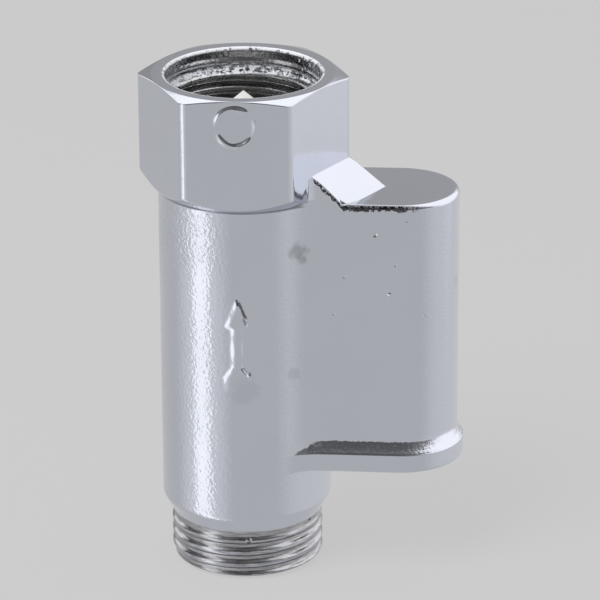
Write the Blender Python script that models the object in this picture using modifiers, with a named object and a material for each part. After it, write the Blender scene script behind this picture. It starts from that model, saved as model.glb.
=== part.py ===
"""Safety valve for a storage water heater, in metres, +Z up.

The body is one chrome-plated brass casting. Cold water enters the threaded bottom end, lifts the
non-return valve in the main bore and leaves through the hexagonal top end, which screws onto the
heater. The lobe beside the barrel holds the relief valve: pressure from above the non-return valve
reaches it through a slanting port, pushes its disc down against a spring, and the water drains
through the hexagonal hole of the adjuster in the lobe's underside.

The origin is at the centre of the part's footprint, on the plane of the inlet's end face. The lobe
lies towards +X and the flow arrow faces -Y.
"""

import math

import bmesh
import bpy
from mathutils import Matrix, Vector

MM = 0.001

# Fits
CLEARANCE = 0.3 * MM
SEGMENTS_LARGE = 40
SEGMENTS_SMALL = 20

# Steps along the lobe's fillets, round end, cove and top edge, and points round two thin rings
FILLET_STEPS = 5
END_STEPS = 8
COVE_STEPS = 3
TOP_ROUND_STEPS = 2
MARK_RING_SIDES = 6
ORING_SIDES = 8

# Points closer than these are one point: on a turned profile's axis, and on a plate's rim
AXIS_WELD = 0.01 * MM
RIM_WELD = 0.001 * MM

# Pipe thread of both ends
THREAD_MAJOR_R = 10.48 * MM
THREAD_DEPTH = 1.16 * MM
THREAD_PITCH = 1.814 * MM
THREAD_MINOR_R = THREAD_MAJOR_R - THREAD_DEPTH
CREST_START = 0.4
CREST_END = 0.6
MALE_RUNOUT = 0.5 * MM
FEMALE_RUNOUT = 0.25 * MM

# Barrel
BODY_HEIGHT = 70.4 * MM
BARREL_R = 11.7 * MM
INLET_THREAD_LENGTH = 7.0 * MM
INLET_CHAMFER = 1.0 * MM
BARREL_TAPER_HEIGHT = 2.6 * MM
BARREL_TAPER_DEPTH = 1.4 * MM

# Hexagon
HEX_ACROSS_FLATS = 25.0 * MM
HEX_HEIGHT = 16.1 * MM
HEX_TOP_ANGLE = math.radians(15)
HEX_UNDER_ANGLE = math.radians(45)
MOUTH_R = 11.0 * MM
HEX_RIM_INSET = 0.05 * MM
HEX_APOTHEM = HEX_ACROSS_FLATS / 2
HEX_CORNER_R = HEX_APOTHEM / math.cos(math.radians(30))
HEX_BOTTOM_Z = BODY_HEIGHT - HEX_HEIGHT

# Lobe
LOBE_OFFSET = 21.5 * MM
LOBE_R = 7.66 * MM
LOBE_BOTTOM_Z = 15.9 * MM
LOBE_ABOVE_HEX_BOTTOM = 0.2 * MM
LOBE_TOP_ROUND = 0.85 * MM
LOBE_FILLET_R = 10.0 * MM
LIP_PROJECTION = 0.85 * MM
LIP_EDGE_HEIGHT = 1.9 * MM
LIP_COVE_R = 3.0 * MM
LOBE_TOP_Z = HEX_BOTTOM_Z + LOBE_ABOVE_HEX_BOTTOM

# Ramp between the lobe's top and the hexagon's corner
RAMP_HEIGHT = 4.1 * MM
RAMP_ANGLE = math.radians(45)

# The main axis lies left of the origin, so that the footprint is centred
LOBE_REACH = LOBE_OFFSET + LOBE_R + LIP_PROJECTION
MAIN_X = (HEX_CORNER_R - LOBE_REACH) / 2
LOBE_X = MAIN_X + LOBE_OFFSET

# Flow arrow, raised on the barrel, and the plain ring on the hexagon's front flat
ARROW_OFFSET = -0.12 * MM
ARROW_TIP_Z = 42.0 * MM
ARROW_LENGTH = 14.3 * MM
ARROW_HEAD_LENGTH = 3.9 * MM
ARROW_HEAD_WIDTH = 3.1 * MM
ARROW_SHAFT_WIDTH = 1.3 * MM
ARROW_TAIL_WIDTH = 3.3 * MM
ARROW_TAIL_LENGTH = 2.7 * MM
ARROW_FLARE_LENGTH = 1.8 * MM
ARROW_BARB_SWEEP = 0.4 * MM
ARROW_NOTCH = 1.2 * MM
ARROW_RISE = 0.35 * MM
RING_R = 2.8 * MM
RING_WIRE_R = 0.3 * MM
RING_BELOW_TOP = 3.4 * MM

# Main bore
INLET_BORE_R = 7.25 * MM
CHECK_BORE_R = 8.3 * MM
CHECK_SHOULDER_Z = 36.0 * MM
SOCKET_DEPTH = 12.0 * MM
SOCKET_FLOOR_Z = BODY_HEIGHT - SOCKET_DEPTH

# Seat of the non-return valve
CHECK_SEAT_HEIGHT = 5.0 * MM
CHECK_SEAT_BORE_R = 5.5 * MM
CHECK_LIP_WIDTH = 0.7 * MM
CHECK_LIP_HEIGHT = 0.5 * MM
ORING_WIRE_R = 0.7 * MM
ORING_GAP = 0.15 * MM
CHECK_SEAT_R = CHECK_BORE_R - CLEARANCE
CHECK_SEAT_Z = CHECK_SHOULDER_Z + CLEARANCE
CHECK_LIP_Z = CHECK_SEAT_Z + CHECK_SEAT_HEIGHT
ORING_R = CHECK_BORE_R - ORING_GAP - ORING_WIRE_R
ORING_GROOVE_R = ORING_R - ORING_WIRE_R - ORING_GAP
ORING_Z = CHECK_SEAT_Z + (CHECK_SEAT_HEIGHT - CHECK_LIP_HEIGHT) / 2

# Poppet of the non-return valve
CHECK_LIFT = 4.0 * MM
POPPET_R = 6.7 * MM
POPPET_THICKNESS = 1.6 * MM
POPPET_STEM_R = 1.6 * MM
POPPET_STUB_R = 1.5 * MM
STUB_END = 0.6 * MM
CHECK_SEAL_THICKNESS = 1.5 * MM
CHECK_WASHER_R = 4.4 * MM
CHECK_WASHER_THICKNESS = 0.7 * MM
CHECK_SEAL_Z = CHECK_LIP_Z + CLEARANCE
POPPET_Z = CHECK_SEAL_Z + CHECK_SEAL_THICKNESS + CLEARANCE
POPPET_TOP_Z = POPPET_Z + POPPET_THICKNESS
CHECK_WASHER_Z = CHECK_SEAL_Z - CLEARANCE - CHECK_WASHER_THICKNESS
STUB_BOTTOM_Z = CHECK_WASHER_Z - STUB_END
SEAL_HOLE_R = POPPET_STUB_R + CLEARANCE

# Guide of the non-return valve, with the nose that shows in the mouth
GUIDE_RING_HEIGHT = 2.0 * MM
GUIDE_RING_WALL = 1.4 * MM
GUIDE_SPOKE_WIDTH = 1.4 * MM
GUIDE_SPOKES = 4
GUIDE_HUB_R = 3.2 * MM
GUIDE_HUB_BELOW_RING = 3.2 * MM
GUIDE_ROOF = 1.2 * MM
NOSE_BELOW_MOUTH = 2.6 * MM
NOSE_HALF_ANGLE = math.radians(48)
GUIDE_R = THREAD_MINOR_R - CLEARANCE
GUIDE_Z = SOCKET_FLOOR_Z + CLEARANCE
GUIDE_TOP_Z = GUIDE_Z + GUIDE_RING_HEIGHT
GUIDE_BOTTOM_Z = GUIDE_Z - GUIDE_HUB_BELOW_RING
GUIDE_BORE_R = POPPET_STEM_R + CLEARANCE
NOSE_TIP_Z = BODY_HEIGHT - NOSE_BELOW_MOUTH
NOSE_BASE_Z = NOSE_TIP_Z - GUIDE_HUB_R / math.tan(NOSE_HALF_ANGLE)
GUIDE_BORE_TOP_Z = NOSE_BASE_Z - GUIDE_ROOF
STEM_TOP_Z = GUIDE_BORE_TOP_Z - CHECK_LIFT - 2 * CLEARANCE

# Retaining ring above the guide
SNAP_RING_THICKNESS = 0.7 * MM
SNAP_RING_WIDTH = 1.3 * MM
SNAP_RING_OPENING = 4.0 * MM
SNAP_GROOVE_DEPTH = 0.96 * MM
SNAP_SHOULDER = 0.6 * MM
SNAP_GROOVE_R = THREAD_MINOR_R + SNAP_GROOVE_DEPTH
SNAP_RING_R = SNAP_GROOVE_R - CLEARANCE
SNAP_RING_Z = GUIDE_TOP_Z + CLEARANCE
SNAP_GROOVE_TOP_Z = SNAP_RING_Z + SNAP_RING_THICKNESS + CLEARANCE
FEMALE_THREAD_Z = SNAP_GROOVE_TOP_Z + SNAP_SHOULDER

# Springs
SPRING_POINTS_PER_TURN = 10
CLOSED_PITCH = 2.1
CHECK_WIRE_R = 0.35 * MM
CHECK_SPRING_TURNS = 7
CHECK_SPRING_R = (GUIDE_BORE_R + GUIDE_HUB_R) / 2
RELIEF_WIRE_R = 0.6 * MM
RELIEF_SPRING_TURNS = 5.5
RELIEF_SPRING_R = 3.6 * MM

# Relief bore, seat and slanting port
RELIEF_BORE_R = 5.8 * MM
RELIEF_SEAT_BELOW_TOP = 14.0 * MM
RELIEF_HOLE_R = 2.2 * MM
RELIEF_LIP_WIDTH = 0.8 * MM
RELIEF_LIP_HEIGHT = 1.0 * MM
RELIEF_HOLE_LENGTH = 7.5 * MM
PORT_R = 1.6 * MM
PORT_BELOW_SOCKET = 2.4 * MM
RELIEF_LIP_Z = LOBE_TOP_Z - RELIEF_SEAT_BELOW_TOP
RELIEF_BORE_TOP_Z = RELIEF_LIP_Z + RELIEF_LIP_HEIGHT
RELIEF_HOLE_TOP_Z = RELIEF_LIP_Z + RELIEF_HOLE_LENGTH

# Relief disc and its seal
RELIEF_SEAL_THICKNESS = 1.6 * MM
RELIEF_SEAL_R = 3.9 * MM
RELIEF_CUP_DEPTH = 1.4 * MM
RELIEF_DISC_FLOOR = 2.8 * MM
RELIEF_SPIGOT_LENGTH = 2.0 * MM
RELIEF_SCREW_R = 0.8 * MM
RELIEF_SCREW_HEAD_R = 1.5 * MM
RELIEF_SCREW_HEAD = 0.8 * MM
RELIEF_SCREW_DEPTH = 2.0 * MM
RELIEF_SEAL_Z = RELIEF_LIP_Z - CLEARANCE - RELIEF_SEAL_THICKNESS
RELIEF_DISC_FLOOR_Z = RELIEF_SEAL_Z - CLEARANCE
RELIEF_DISC_Z = RELIEF_DISC_FLOOR_Z - RELIEF_DISC_FLOOR
RELIEF_DISC_CORNER_R = RELIEF_BORE_R - CLEARANCE
RELIEF_CUP_R = RELIEF_SEAL_R + CLEARANCE
RELIEF_SPIGOT_R = RELIEF_SPRING_R - RELIEF_WIRE_R - CLEARANCE
SCREW_HOLE_R = RELIEF_SCREW_R + CLEARANCE
SCREW_HEAD_Z = RELIEF_SEAL_Z + RELIEF_SEAL_THICKNESS + CLEARANCE
SCREW_END_Z = RELIEF_DISC_FLOOR_Z - RELIEF_SCREW_DEPTH

# Adjuster, lock ring and spring plate in the bottom of the relief bore
LOCK_RING_RECESS = 0.5 * MM
LOCK_RING_THICKNESS = 1.2 * MM
LOCK_RING_BORE_R = 3.9 * MM
LOCK_SLOT_WIDTH = 1.2 * MM
ADJUSTER_LENGTH = 5.5 * MM
ADJUSTER_HEX_AF = 6.0 * MM
SPRING_PLATE_THICKNESS = 0.9 * MM
SPRING_PLATE_BORE_R = 1.9 * MM
SPRING_COLLAR_HEIGHT = 0.8 * MM
ADJUSTER_R = RELIEF_BORE_R - CLEARANCE
LOCK_RING_Z = LOBE_BOTTOM_Z + LOCK_RING_RECESS
ADJUSTER_Z = LOCK_RING_Z + LOCK_RING_THICKNESS + CLEARANCE
SPRING_PLATE_Z = ADJUSTER_Z + ADJUSTER_LENGTH + CLEARANCE
SPRING_PLATE_TOP_Z = SPRING_PLATE_Z + SPRING_PLATE_THICKNESS

# How far a cutter or an overlapping shape runs past what it meets
OVERRUN = 1.0 * MM


def start_scene():
    """Empty the scene and return the collections for the parts and for the cutters."""
    for leftover in list(bpy.data.objects):
        bpy.data.objects.remove(leftover, do_unlink=True)
    parts = bpy.data.collections.new("safety_valve")
    cutters = bpy.data.collections.new("cutters")
    bpy.context.scene.collection.children.link(parts)
    bpy.context.scene.collection.children.link(cutters)
    return parts, cutters


PARTS, CUTTERS = start_scene()


def finish_material(name, colour, roughness, metallic):
    """Return a plain material with one colour, roughness and metallic value."""
    material = bpy.data.materials.new(name)
    material.use_nodes = True
    shader = material.node_tree.nodes["Principled BSDF"]
    shader.inputs["Base Color"].default_value = (*colour, 1.0)
    shader.inputs["Roughness"].default_value = roughness
    shader.inputs["Metallic"].default_value = metallic
    return material


def chrome(name):
    return finish_material(name, (0.60, 0.62, 0.66), 0.12, 1.0)


def white_plastic(name):
    return finish_material(name, (0.84, 0.84, 0.81), 0.42, 0.0)


def black_rubber(name):
    return finish_material(name, (0.03, 0.03, 0.032), 0.65, 0.0)


def spring_steel(name):
    return finish_material(name, (0.50, 0.50, 0.49), 0.28, 1.0)


def bare_brass(name):
    return finish_material(name, (0.72, 0.52, 0.24), 0.30, 1.0)


def place(obj, material):
    """Put a finished piece into the parts collection with a material of its own."""
    PARTS.objects.link(obj)
    obj.data.materials.clear()
    obj.data.materials.append(material(obj.name))
    return obj


def keep_as_cutter(obj):
    """Put a shape that only cuts, joins or limits another into the cutters collection."""
    CUTTERS.objects.link(obj)
    obj.hide_render = True
    obj.display_type = "WIRE"
    return obj


def combine(obj, other, operation):
    """Add a live Boolean of another shape to an object."""
    modifier = obj.modifiers.new(other.name, "BOOLEAN")
    modifier.operation = operation
    modifier.solver = "EXACT"
    modifier.object = keep_as_cutter(other)


def object_from(name, mesh_builder):
    """Make an object from a function that fills a bmesh."""
    mesh = bpy.data.meshes.new(name)
    shape = bmesh.new()
    mesh_builder(shape)
    shape.to_mesh(mesh)
    shape.free()
    return bpy.data.objects.new(name, mesh)


def turned(name, profile, centre_x, segments, ring=False):
    """Turn a profile of (radius, height) points about the vertical line at centre_x.

    The points run down the outer side. A solid's profile starts and ends on the axis, and a ring's
    profile is closed.
    """

    def trace(shape):
        points = [shape.verts.new((radius, 0, height)) for radius, height in profile]
        for start, end in zip(points, points[1:]):
            shape.edges.new((start, end))
        if ring:
            shape.edges.new((points[-1], points[0]))

    obj = object_from(name, trace)
    obj.location.x = centre_x
    screw = obj.modifiers.new("turn", "SCREW")
    screw.steps = segments
    screw.render_steps = segments
    screw.use_merge_vertices = True
    screw.merge_threshold = AXIS_WELD
    screw.use_smooth_shade = True
    return obj


def prism(name, sides, corner_r_bottom, corner_r_top, bottom_z, top_z, centre_x):
    """A prism or pyramid stump with corners towards +X and -X."""

    def build(shape):
        bmesh.ops.create_cone(
            shape, cap_ends=True, segments=sides, radius1=corner_r_bottom,
            radius2=corner_r_top, depth=top_z - bottom_z,
            matrix=Matrix.Rotation(math.radians(90), 4, "Z"),
        )

    obj = object_from(name, build)
    obj.location = (centre_x, 0, (bottom_z + top_z) / 2)
    return obj


def block(name, size, centre):
    """A rectangular block."""

    def build(shape):
        bmesh.ops.create_cube(shape, size=1.0, matrix=Matrix.Diagonal((*size, 1.0)))

    obj = object_from(name, build)
    obj.location = centre
    return obj


def plate(name, outline, thickness):
    """A flat plate in the XZ plane, from a 2D curve, centred on y = 0 and made a mesh."""
    curve = bpy.data.curves.new(name + "_outline", "CURVE")
    curve.dimensions = "2D"
    curve.fill_mode = "BOTH"
    curve.extrude = thickness / 2
    spline = curve.splines.new("POLY")
    spline.points.add(len(outline) - 1)
    for point, (across, up) in zip(spline.points, outline):
        point.co = (across, up, 0, 1)
    spline.use_cyclic_u = True
    return mesh_of_curve(name, curve, Matrix.Rotation(math.radians(90), 4, "X"))


def mesh_of_curve(name, curve, matrix):
    """Turn a curve into a closed mesh object with its caps welded on."""
    drawn = bpy.data.objects.new(name + "_curve", curve)
    bpy.context.scene.collection.objects.link(drawn)
    drawn.matrix_world = matrix
    bpy.context.view_layer.update()
    evaluated = drawn.evaluated_get(bpy.context.evaluated_depsgraph_get())
    mesh = bpy.data.meshes.new_from_object(evaluated)
    shape = bmesh.new()
    shape.from_mesh(mesh)
    bmesh.ops.remove_doubles(shape, verts=shape.verts, dist=RIM_WELD)
    shape.to_mesh(mesh)
    shape.free()
    obj = bpy.data.objects.new(name, mesh)
    obj.matrix_world = drawn.matrix_world
    bpy.data.objects.remove(drawn, do_unlink=True)
    return obj


def coil(name, centre_x, bottom_z, top_z, mean_r, wire_r, turns):
    """A compression spring with one closed turn at each end, CLOSED_PITCH wire radii high."""
    closed_pitch = CLOSED_PITCH * wire_r
    wire_bottom = bottom_z + wire_r
    wire_top = top_z - wire_r
    open_pitch = (wire_top - wire_bottom - 2 * closed_pitch) / (turns - 2)

    def height(turn):
        if turn < 1:
            return wire_bottom + closed_pitch * turn
        if turn > turns - 1:
            return wire_top - closed_pitch * (turns - turn)
        return wire_bottom + closed_pitch + open_pitch * (turn - 1)

    curve = bpy.data.curves.new(name, "CURVE")
    curve.dimensions = "3D"
    curve.bevel_depth = wire_r
    curve.bevel_resolution = 2
    curve.use_fill_caps = True
    spline = curve.splines.new("POLY")
    count = round(turns * SPRING_POINTS_PER_TURN) + 1
    spline.points.add(count - 1)
    for index, point in enumerate(spline.points):
        turn = turns * index / (count - 1)
        angle = 2 * math.pi * turn
        point.co = (mean_r * math.cos(angle), mean_r * math.sin(angle), height(turn), 1)
    obj = bpy.data.objects.new(name, curve)
    obj.location.x = centre_x
    return obj


def ridges(bottom_z, top_z, crest_r, root_r):
    """Points of plain rings that stand for a pipe thread, from the top down.

    Each crest lies between CREST_START and CREST_END of a pitch below its ring's top.
    """
    count = int((top_z - bottom_z) / THREAD_PITCH)
    points = []
    for index in range(count):
        upper = top_z - index * THREAD_PITCH
        points.append((root_r, upper))
        points.append((crest_r, upper - CREST_START * THREAD_PITCH))
        points.append((crest_r, upper - CREST_END * THREAD_PITCH))
    points.append((root_r, top_z - count * THREAD_PITCH))
    return points


def barrel_shape():
    """The barrel with the male thread at its bottom."""
    thread_top = INLET_THREAD_LENGTH
    taper_top = thread_top + BARREL_TAPER_HEIGHT
    profile = [
        (0, HEX_BOTTOM_Z + HEX_HEIGHT / 2),
        (BARREL_R, HEX_BOTTOM_Z + HEX_HEIGHT / 2),
        (BARREL_R, taper_top),
        (BARREL_R - BARREL_TAPER_DEPTH, thread_top),
        *ridges(INLET_CHAMFER, thread_top - MALE_RUNOUT, THREAD_MAJOR_R, THREAD_MINOR_R),
        (THREAD_MINOR_R, 0),
        (0, 0),
    ]
    return turned("valve_body", profile, MAIN_X, SEGMENTS_LARGE)


def hexagon_shape():
    """The hexagon, limited by a flat cone on top and a steep cone underneath."""
    rim_r = HEX_APOTHEM - HEX_RIM_INSET
    outer_r = HEX_CORNER_R + OVERRUN
    hexagon = prism(
        "hexagon", 6, HEX_CORNER_R, HEX_CORNER_R, HEX_BOTTOM_Z - 2 * OVERRUN,
        BODY_HEIGHT + OVERRUN, MAIN_X,
    )
    top_at_outer = BODY_HEIGHT - (outer_r - rim_r) * math.tan(HEX_TOP_ANGLE)
    under_at_outer = HEX_BOTTOM_Z + (outer_r - BARREL_R) * math.tan(HEX_UNDER_ANGLE)
    under_at_inner = HEX_BOTTOM_Z - OVERRUN * math.tan(HEX_UNDER_ANGLE)
    limits = turned(
        "hexagon_limits",
        [
            (0, BODY_HEIGHT),
            (rim_r, BODY_HEIGHT),
            (outer_r, top_at_outer),
            (outer_r, under_at_outer),
            (BARREL_R - OVERRUN, under_at_inner),
            (0, under_at_inner),
        ],
        MAIN_X, SEGMENTS_LARGE,
    )
    combine(hexagon, limits, "INTERSECT")
    return hexagon


def lobe_outline(offset):
    """Plan of the lobe, offset outwards: barrel, fillet, flat wall, round end and back again."""
    wall_y = LOBE_R + offset
    centre_distance = BARREL_R + LOBE_FILLET_R
    fillet_y = wall_y + LOBE_FILLET_R
    fillet_x = math.sqrt(centre_distance**2 - fillet_y**2)
    start_angle = math.atan2(-fillet_y, -fillet_x)
    half = [(0, BARREL_R / 2)]
    for step in range(FILLET_STEPS + 1):
        angle = start_angle + (math.radians(-90) - start_angle) * step / FILLET_STEPS
        half.append(
            (fillet_x + LOBE_FILLET_R * math.cos(angle), fillet_y + LOBE_FILLET_R * math.sin(angle))
        )
    for step in range(END_STEPS + 1):
        angle = math.radians(90) * (1 - step / END_STEPS)
        half.append((LOBE_OFFSET + wall_y * math.cos(angle), wall_y * math.sin(angle)))
    mirrored = [(across, -along) for across, along in reversed(half[:-1])]
    return [(MAIN_X + across, along) for across, along in half + mirrored]


def lofted(name, sections):
    """Join outlines that have the same number of points, each at its own height."""

    def build(shape):
        rings = [
            [shape.verts.new((across, along, height)) for across, along in outline]
            for outline, height in sections
        ]
        for lower, upper in zip(rings, rings[1:]):
            for index in range(len(lower)):
                following = (index + 1) % len(lower)
                shape.faces.new((lower[index], lower[following], upper[following], upper[index]))
        shape.faces.new(rings[0])
        shape.faces.new(rings[-1])
        bmesh.ops.recalc_face_normals(shape, faces=shape.faces)

    return object_from(name, build)


def lobe_shape():
    """The lobe, with a lip and a cove round its bottom and a rounded top edge."""
    lip_top = LOBE_BOTTOM_Z + LIP_EDGE_HEIGHT
    cove_start = math.acos((LIP_COVE_R - LIP_PROJECTION) / LIP_COVE_R)
    cove_height = LIP_COVE_R * math.sin(cove_start)
    sections = [(lobe_outline(LIP_PROJECTION), LOBE_BOTTOM_Z)]
    for step in range(COVE_STEPS + 1):
        angle = cove_start * (1 - step / COVE_STEPS)
        offset = LIP_COVE_R * (1 - math.cos(angle))
        height = lip_top + cove_height - LIP_COVE_R * math.sin(angle)
        sections.append((lobe_outline(offset), height))
    for step in range(TOP_ROUND_STEPS + 1):
        angle = math.radians(90) * step / TOP_ROUND_STEPS
        offset = LOBE_TOP_ROUND * (math.cos(angle) - 1)
        height = LOBE_TOP_Z - LOBE_TOP_ROUND * (1 - math.sin(angle))
        sections.append((lobe_outline(offset), height))
    return lofted("lobe", sections)


def ramp_shape():
    """The slope from the hexagon's corner down to the lobe, no wider than the lobe."""
    spread = RAMP_HEIGHT / math.tan(RAMP_ANGLE)
    widen = 1 / math.cos(math.radians(30))
    ramp = prism(
        "ramp", 6, HEX_CORNER_R + spread * widen, HEX_CORNER_R, LOBE_TOP_Z,
        LOBE_TOP_Z + RAMP_HEIGHT, MAIN_X,
    )
    ramp_limits = lofted(
        "ramp_limits",
        [
            (lobe_outline(0), LOBE_TOP_Z - LOBE_TOP_ROUND),
            (lobe_outline(0), LOBE_TOP_Z + RAMP_HEIGHT + OVERRUN),
        ],
    )
    combine(ramp, ramp_limits, "INTERSECT")
    return ramp


def arrow_shape():
    """The flow arrow: a flat arrow limited by a cylinder just outside the barrel."""
    tip = ARROW_TIP_Z
    head = tip - ARROW_HEAD_LENGTH
    bottom = tip - ARROW_LENGTH
    flare_end = bottom + ARROW_TAIL_LENGTH
    half = [
        (ARROW_HEAD_WIDTH / 2, head),
        (ARROW_SHAFT_WIDTH / 2, head - ARROW_BARB_SWEEP),
        (ARROW_SHAFT_WIDTH / 2, flare_end + ARROW_FLARE_LENGTH),
        (ARROW_TAIL_WIDTH / 2, flare_end),
        (ARROW_TAIL_WIDTH / 2, bottom),
    ]
    mirrored = [(-across, up) for across, up in reversed(half)]
    outline = [(0, tip), *half, (0, bottom + ARROW_NOTCH), *mirrored]
    depth = 2 * (ARROW_RISE + OVERRUN)
    arrow = plate("arrow", outline, depth)
    arrow.location = (MAIN_X + ARROW_OFFSET, -BARREL_R, 0)
    arrow_limits = turned(
        "arrow_limits",
        [
            (0, tip + OVERRUN),
            (BARREL_R + ARROW_RISE, tip + OVERRUN),
            (BARREL_R + ARROW_RISE, bottom - OVERRUN),
            (0, bottom - OVERRUN),
        ],
        MAIN_X, 2 * SEGMENTS_LARGE,
    )
    combine(arrow, arrow_limits, "INTERSECT")
    return arrow


def ring_shape():
    """The plain raised ring on the hexagon's front flat, half sunk into it."""
    profile = []
    for step in range(MARK_RING_SIDES):
        angle = -2 * math.pi * (step + 0.5) / MARK_RING_SIDES
        profile.append((RING_R + RING_WIRE_R * math.cos(angle), RING_WIRE_R * math.sin(angle)))
    ring = turned("ring", profile, MAIN_X, SEGMENTS_SMALL, ring=True)
    ring.location = (MAIN_X, -HEX_APOTHEM, BODY_HEIGHT - RING_BELOW_TOP)
    ring.rotation_euler.x = math.radians(90)
    return ring


def main_bore_shape():
    """Everything that is cut from the main axis, from the mouth down to the inlet."""
    chamfer = MOUTH_R - THREAD_MINOR_R
    thread_top = BODY_HEIGHT - chamfer
    profile = [
        (0, BODY_HEIGHT + OVERRUN),
        (MOUTH_R + OVERRUN, BODY_HEIGHT + OVERRUN),
        (THREAD_MINOR_R, thread_top),
        *ridges(FEMALE_THREAD_Z, thread_top - FEMALE_RUNOUT, THREAD_MAJOR_R, THREAD_MINOR_R),
        (THREAD_MINOR_R, SNAP_GROOVE_TOP_Z),
        (SNAP_GROOVE_R, SNAP_GROOVE_TOP_Z),
        (SNAP_GROOVE_R, GUIDE_TOP_Z),
        (THREAD_MINOR_R, GUIDE_TOP_Z),
        (THREAD_MINOR_R, SOCKET_FLOOR_Z),
        (CHECK_BORE_R, SOCKET_FLOOR_Z),
        (CHECK_BORE_R, CHECK_SHOULDER_Z),
        (INLET_BORE_R, CHECK_SHOULDER_Z),
        (INLET_BORE_R, -OVERRUN),
        (0, -OVERRUN),
    ]
    return turned("main_bore", profile, MAIN_X, SEGMENTS_LARGE)


def relief_bore_shape():
    """The relief bore in the lobe, with its raised seat and the hole above it."""
    lip_r = RELIEF_HOLE_R + RELIEF_LIP_WIDTH
    profile = [
        (0, RELIEF_HOLE_TOP_Z),
        (RELIEF_HOLE_R, RELIEF_HOLE_TOP_Z),
        (RELIEF_HOLE_R, RELIEF_LIP_Z),
        (lip_r, RELIEF_LIP_Z),
        (lip_r + RELIEF_LIP_HEIGHT / 2, RELIEF_BORE_TOP_Z),
        (RELIEF_BORE_R, RELIEF_BORE_TOP_Z),
        (RELIEF_BORE_R, LOBE_BOTTOM_Z - OVERRUN),
        (0, LOBE_BOTTOM_Z - OVERRUN),
    ]
    return turned("relief_bore", profile, LOBE_X, SEGMENTS_LARGE)


def port_shape():
    """The slanting port, drilled through the mouth from the main bore to above the relief seat."""
    upper = Vector((MAIN_X + CHECK_BORE_R, 0, SOCKET_FLOOR_Z - PORT_BELOW_SOCKET))
    lower = Vector((LOBE_X, 0, (RELIEF_BORE_TOP_Z + RELIEF_HOLE_TOP_Z) / 2))
    direction = (upper - lower).normalized()
    start = upper + direction * 2 * PORT_R

    def build(shape):
        bmesh.ops.create_cone(
            shape, cap_ends=True, segments=SEGMENTS_SMALL // 2, radius1=PORT_R, radius2=PORT_R,
            depth=(start - lower).length,
        )

    port = object_from("port", build)
    port.location = (start + lower) / 2
    port.rotation_euler = direction.to_track_quat("Z", "Y").to_euler()
    return port


def make_valve_body():
    """The casting, with its bores."""
    body = barrel_shape()
    for shape in (lobe_shape, ramp_shape, hexagon_shape, arrow_shape, ring_shape):
        combine(body, shape(), "UNION")
    for shape in (main_bore_shape, relief_bore_shape, port_shape):
        combine(body, shape(), "DIFFERENCE")
    place(body, chrome)


def make_check_seat():
    """Plastic seat ring with a raised lip on top and a groove for the rubber ring."""
    body_top_z = CHECK_LIP_Z - CHECK_LIP_HEIGHT
    groove_half = ORING_WIRE_R + ORING_GAP
    lip_r = CHECK_SEAT_BORE_R + CHECK_LIP_WIDTH
    profile = [
        (CHECK_SEAT_BORE_R, CHECK_LIP_Z),
        (lip_r, CHECK_LIP_Z),
        (lip_r, body_top_z),
        (CHECK_SEAT_R, body_top_z),
        (CHECK_SEAT_R, ORING_Z + groove_half),
        (ORING_GROOVE_R, ORING_Z + groove_half),
        (ORING_GROOVE_R, ORING_Z - groove_half),
        (CHECK_SEAT_R, ORING_Z - groove_half),
        (CHECK_SEAT_R, CHECK_SEAT_Z),
        (CHECK_SEAT_BORE_R, CHECK_SEAT_Z),
    ]
    place(turned("check_seat", profile, MAIN_X, SEGMENTS_SMALL, ring=True), white_plastic)


def make_check_seat_oring():
    profile = []
    for step in range(ORING_SIDES):
        angle = -2 * math.pi * step / ORING_SIDES
        across = ORING_R + ORING_WIRE_R * math.cos(angle)
        profile.append((across, ORING_Z + ORING_WIRE_R * math.sin(angle)))
    oring = turned("check_seat_oring", profile, MAIN_X, SEGMENTS_SMALL, ring=True)
    place(oring, black_rubber)


def make_check_poppet():
    """Plastic poppet: a stem above, a flat disc and a stub that carries the seal and washer."""
    profile = [
        (0, STEM_TOP_Z),
        (POPPET_STEM_R, STEM_TOP_Z),
        (POPPET_STEM_R, POPPET_TOP_Z),
        (POPPET_R, POPPET_TOP_Z),
        (POPPET_R, POPPET_Z),
        (POPPET_STUB_R, POPPET_Z),
        (POPPET_STUB_R, STUB_BOTTOM_Z),
        (0, STUB_BOTTOM_Z),
    ]
    place(turned("check_poppet", profile, MAIN_X, SEGMENTS_SMALL), white_plastic)


def flat_ring(name, outer_r, inner_r, bottom_z, thickness, centre_x, material):
    """A washer or any other plain flat ring."""
    profile = [
        (inner_r, bottom_z + thickness),
        (outer_r, bottom_z + thickness),
        (outer_r, bottom_z),
        (inner_r, bottom_z),
    ]
    return place(turned(name, profile, centre_x, SEGMENTS_SMALL, ring=True), material)


def make_check_seal():
    flat_ring(
        "check_seal", POPPET_R, SEAL_HOLE_R, CHECK_SEAL_Z, CHECK_SEAL_THICKNESS, MAIN_X,
        black_rubber,
    )


def make_check_seal_washer():
    flat_ring(
        "check_seal_washer", CHECK_WASHER_R, SEAL_HOLE_R, CHECK_WASHER_Z,
        CHECK_WASHER_THICKNESS, MAIN_X, spring_steel,
    )


def make_check_spring():
    spring = coil(
        "check_spring", MAIN_X, POPPET_TOP_Z + CLEARANCE, GUIDE_BOTTOM_Z - CLEARANCE,
        CHECK_SPRING_R, CHECK_WIRE_R, CHECK_SPRING_TURNS,
    )
    place(spring, spring_steel)


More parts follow.
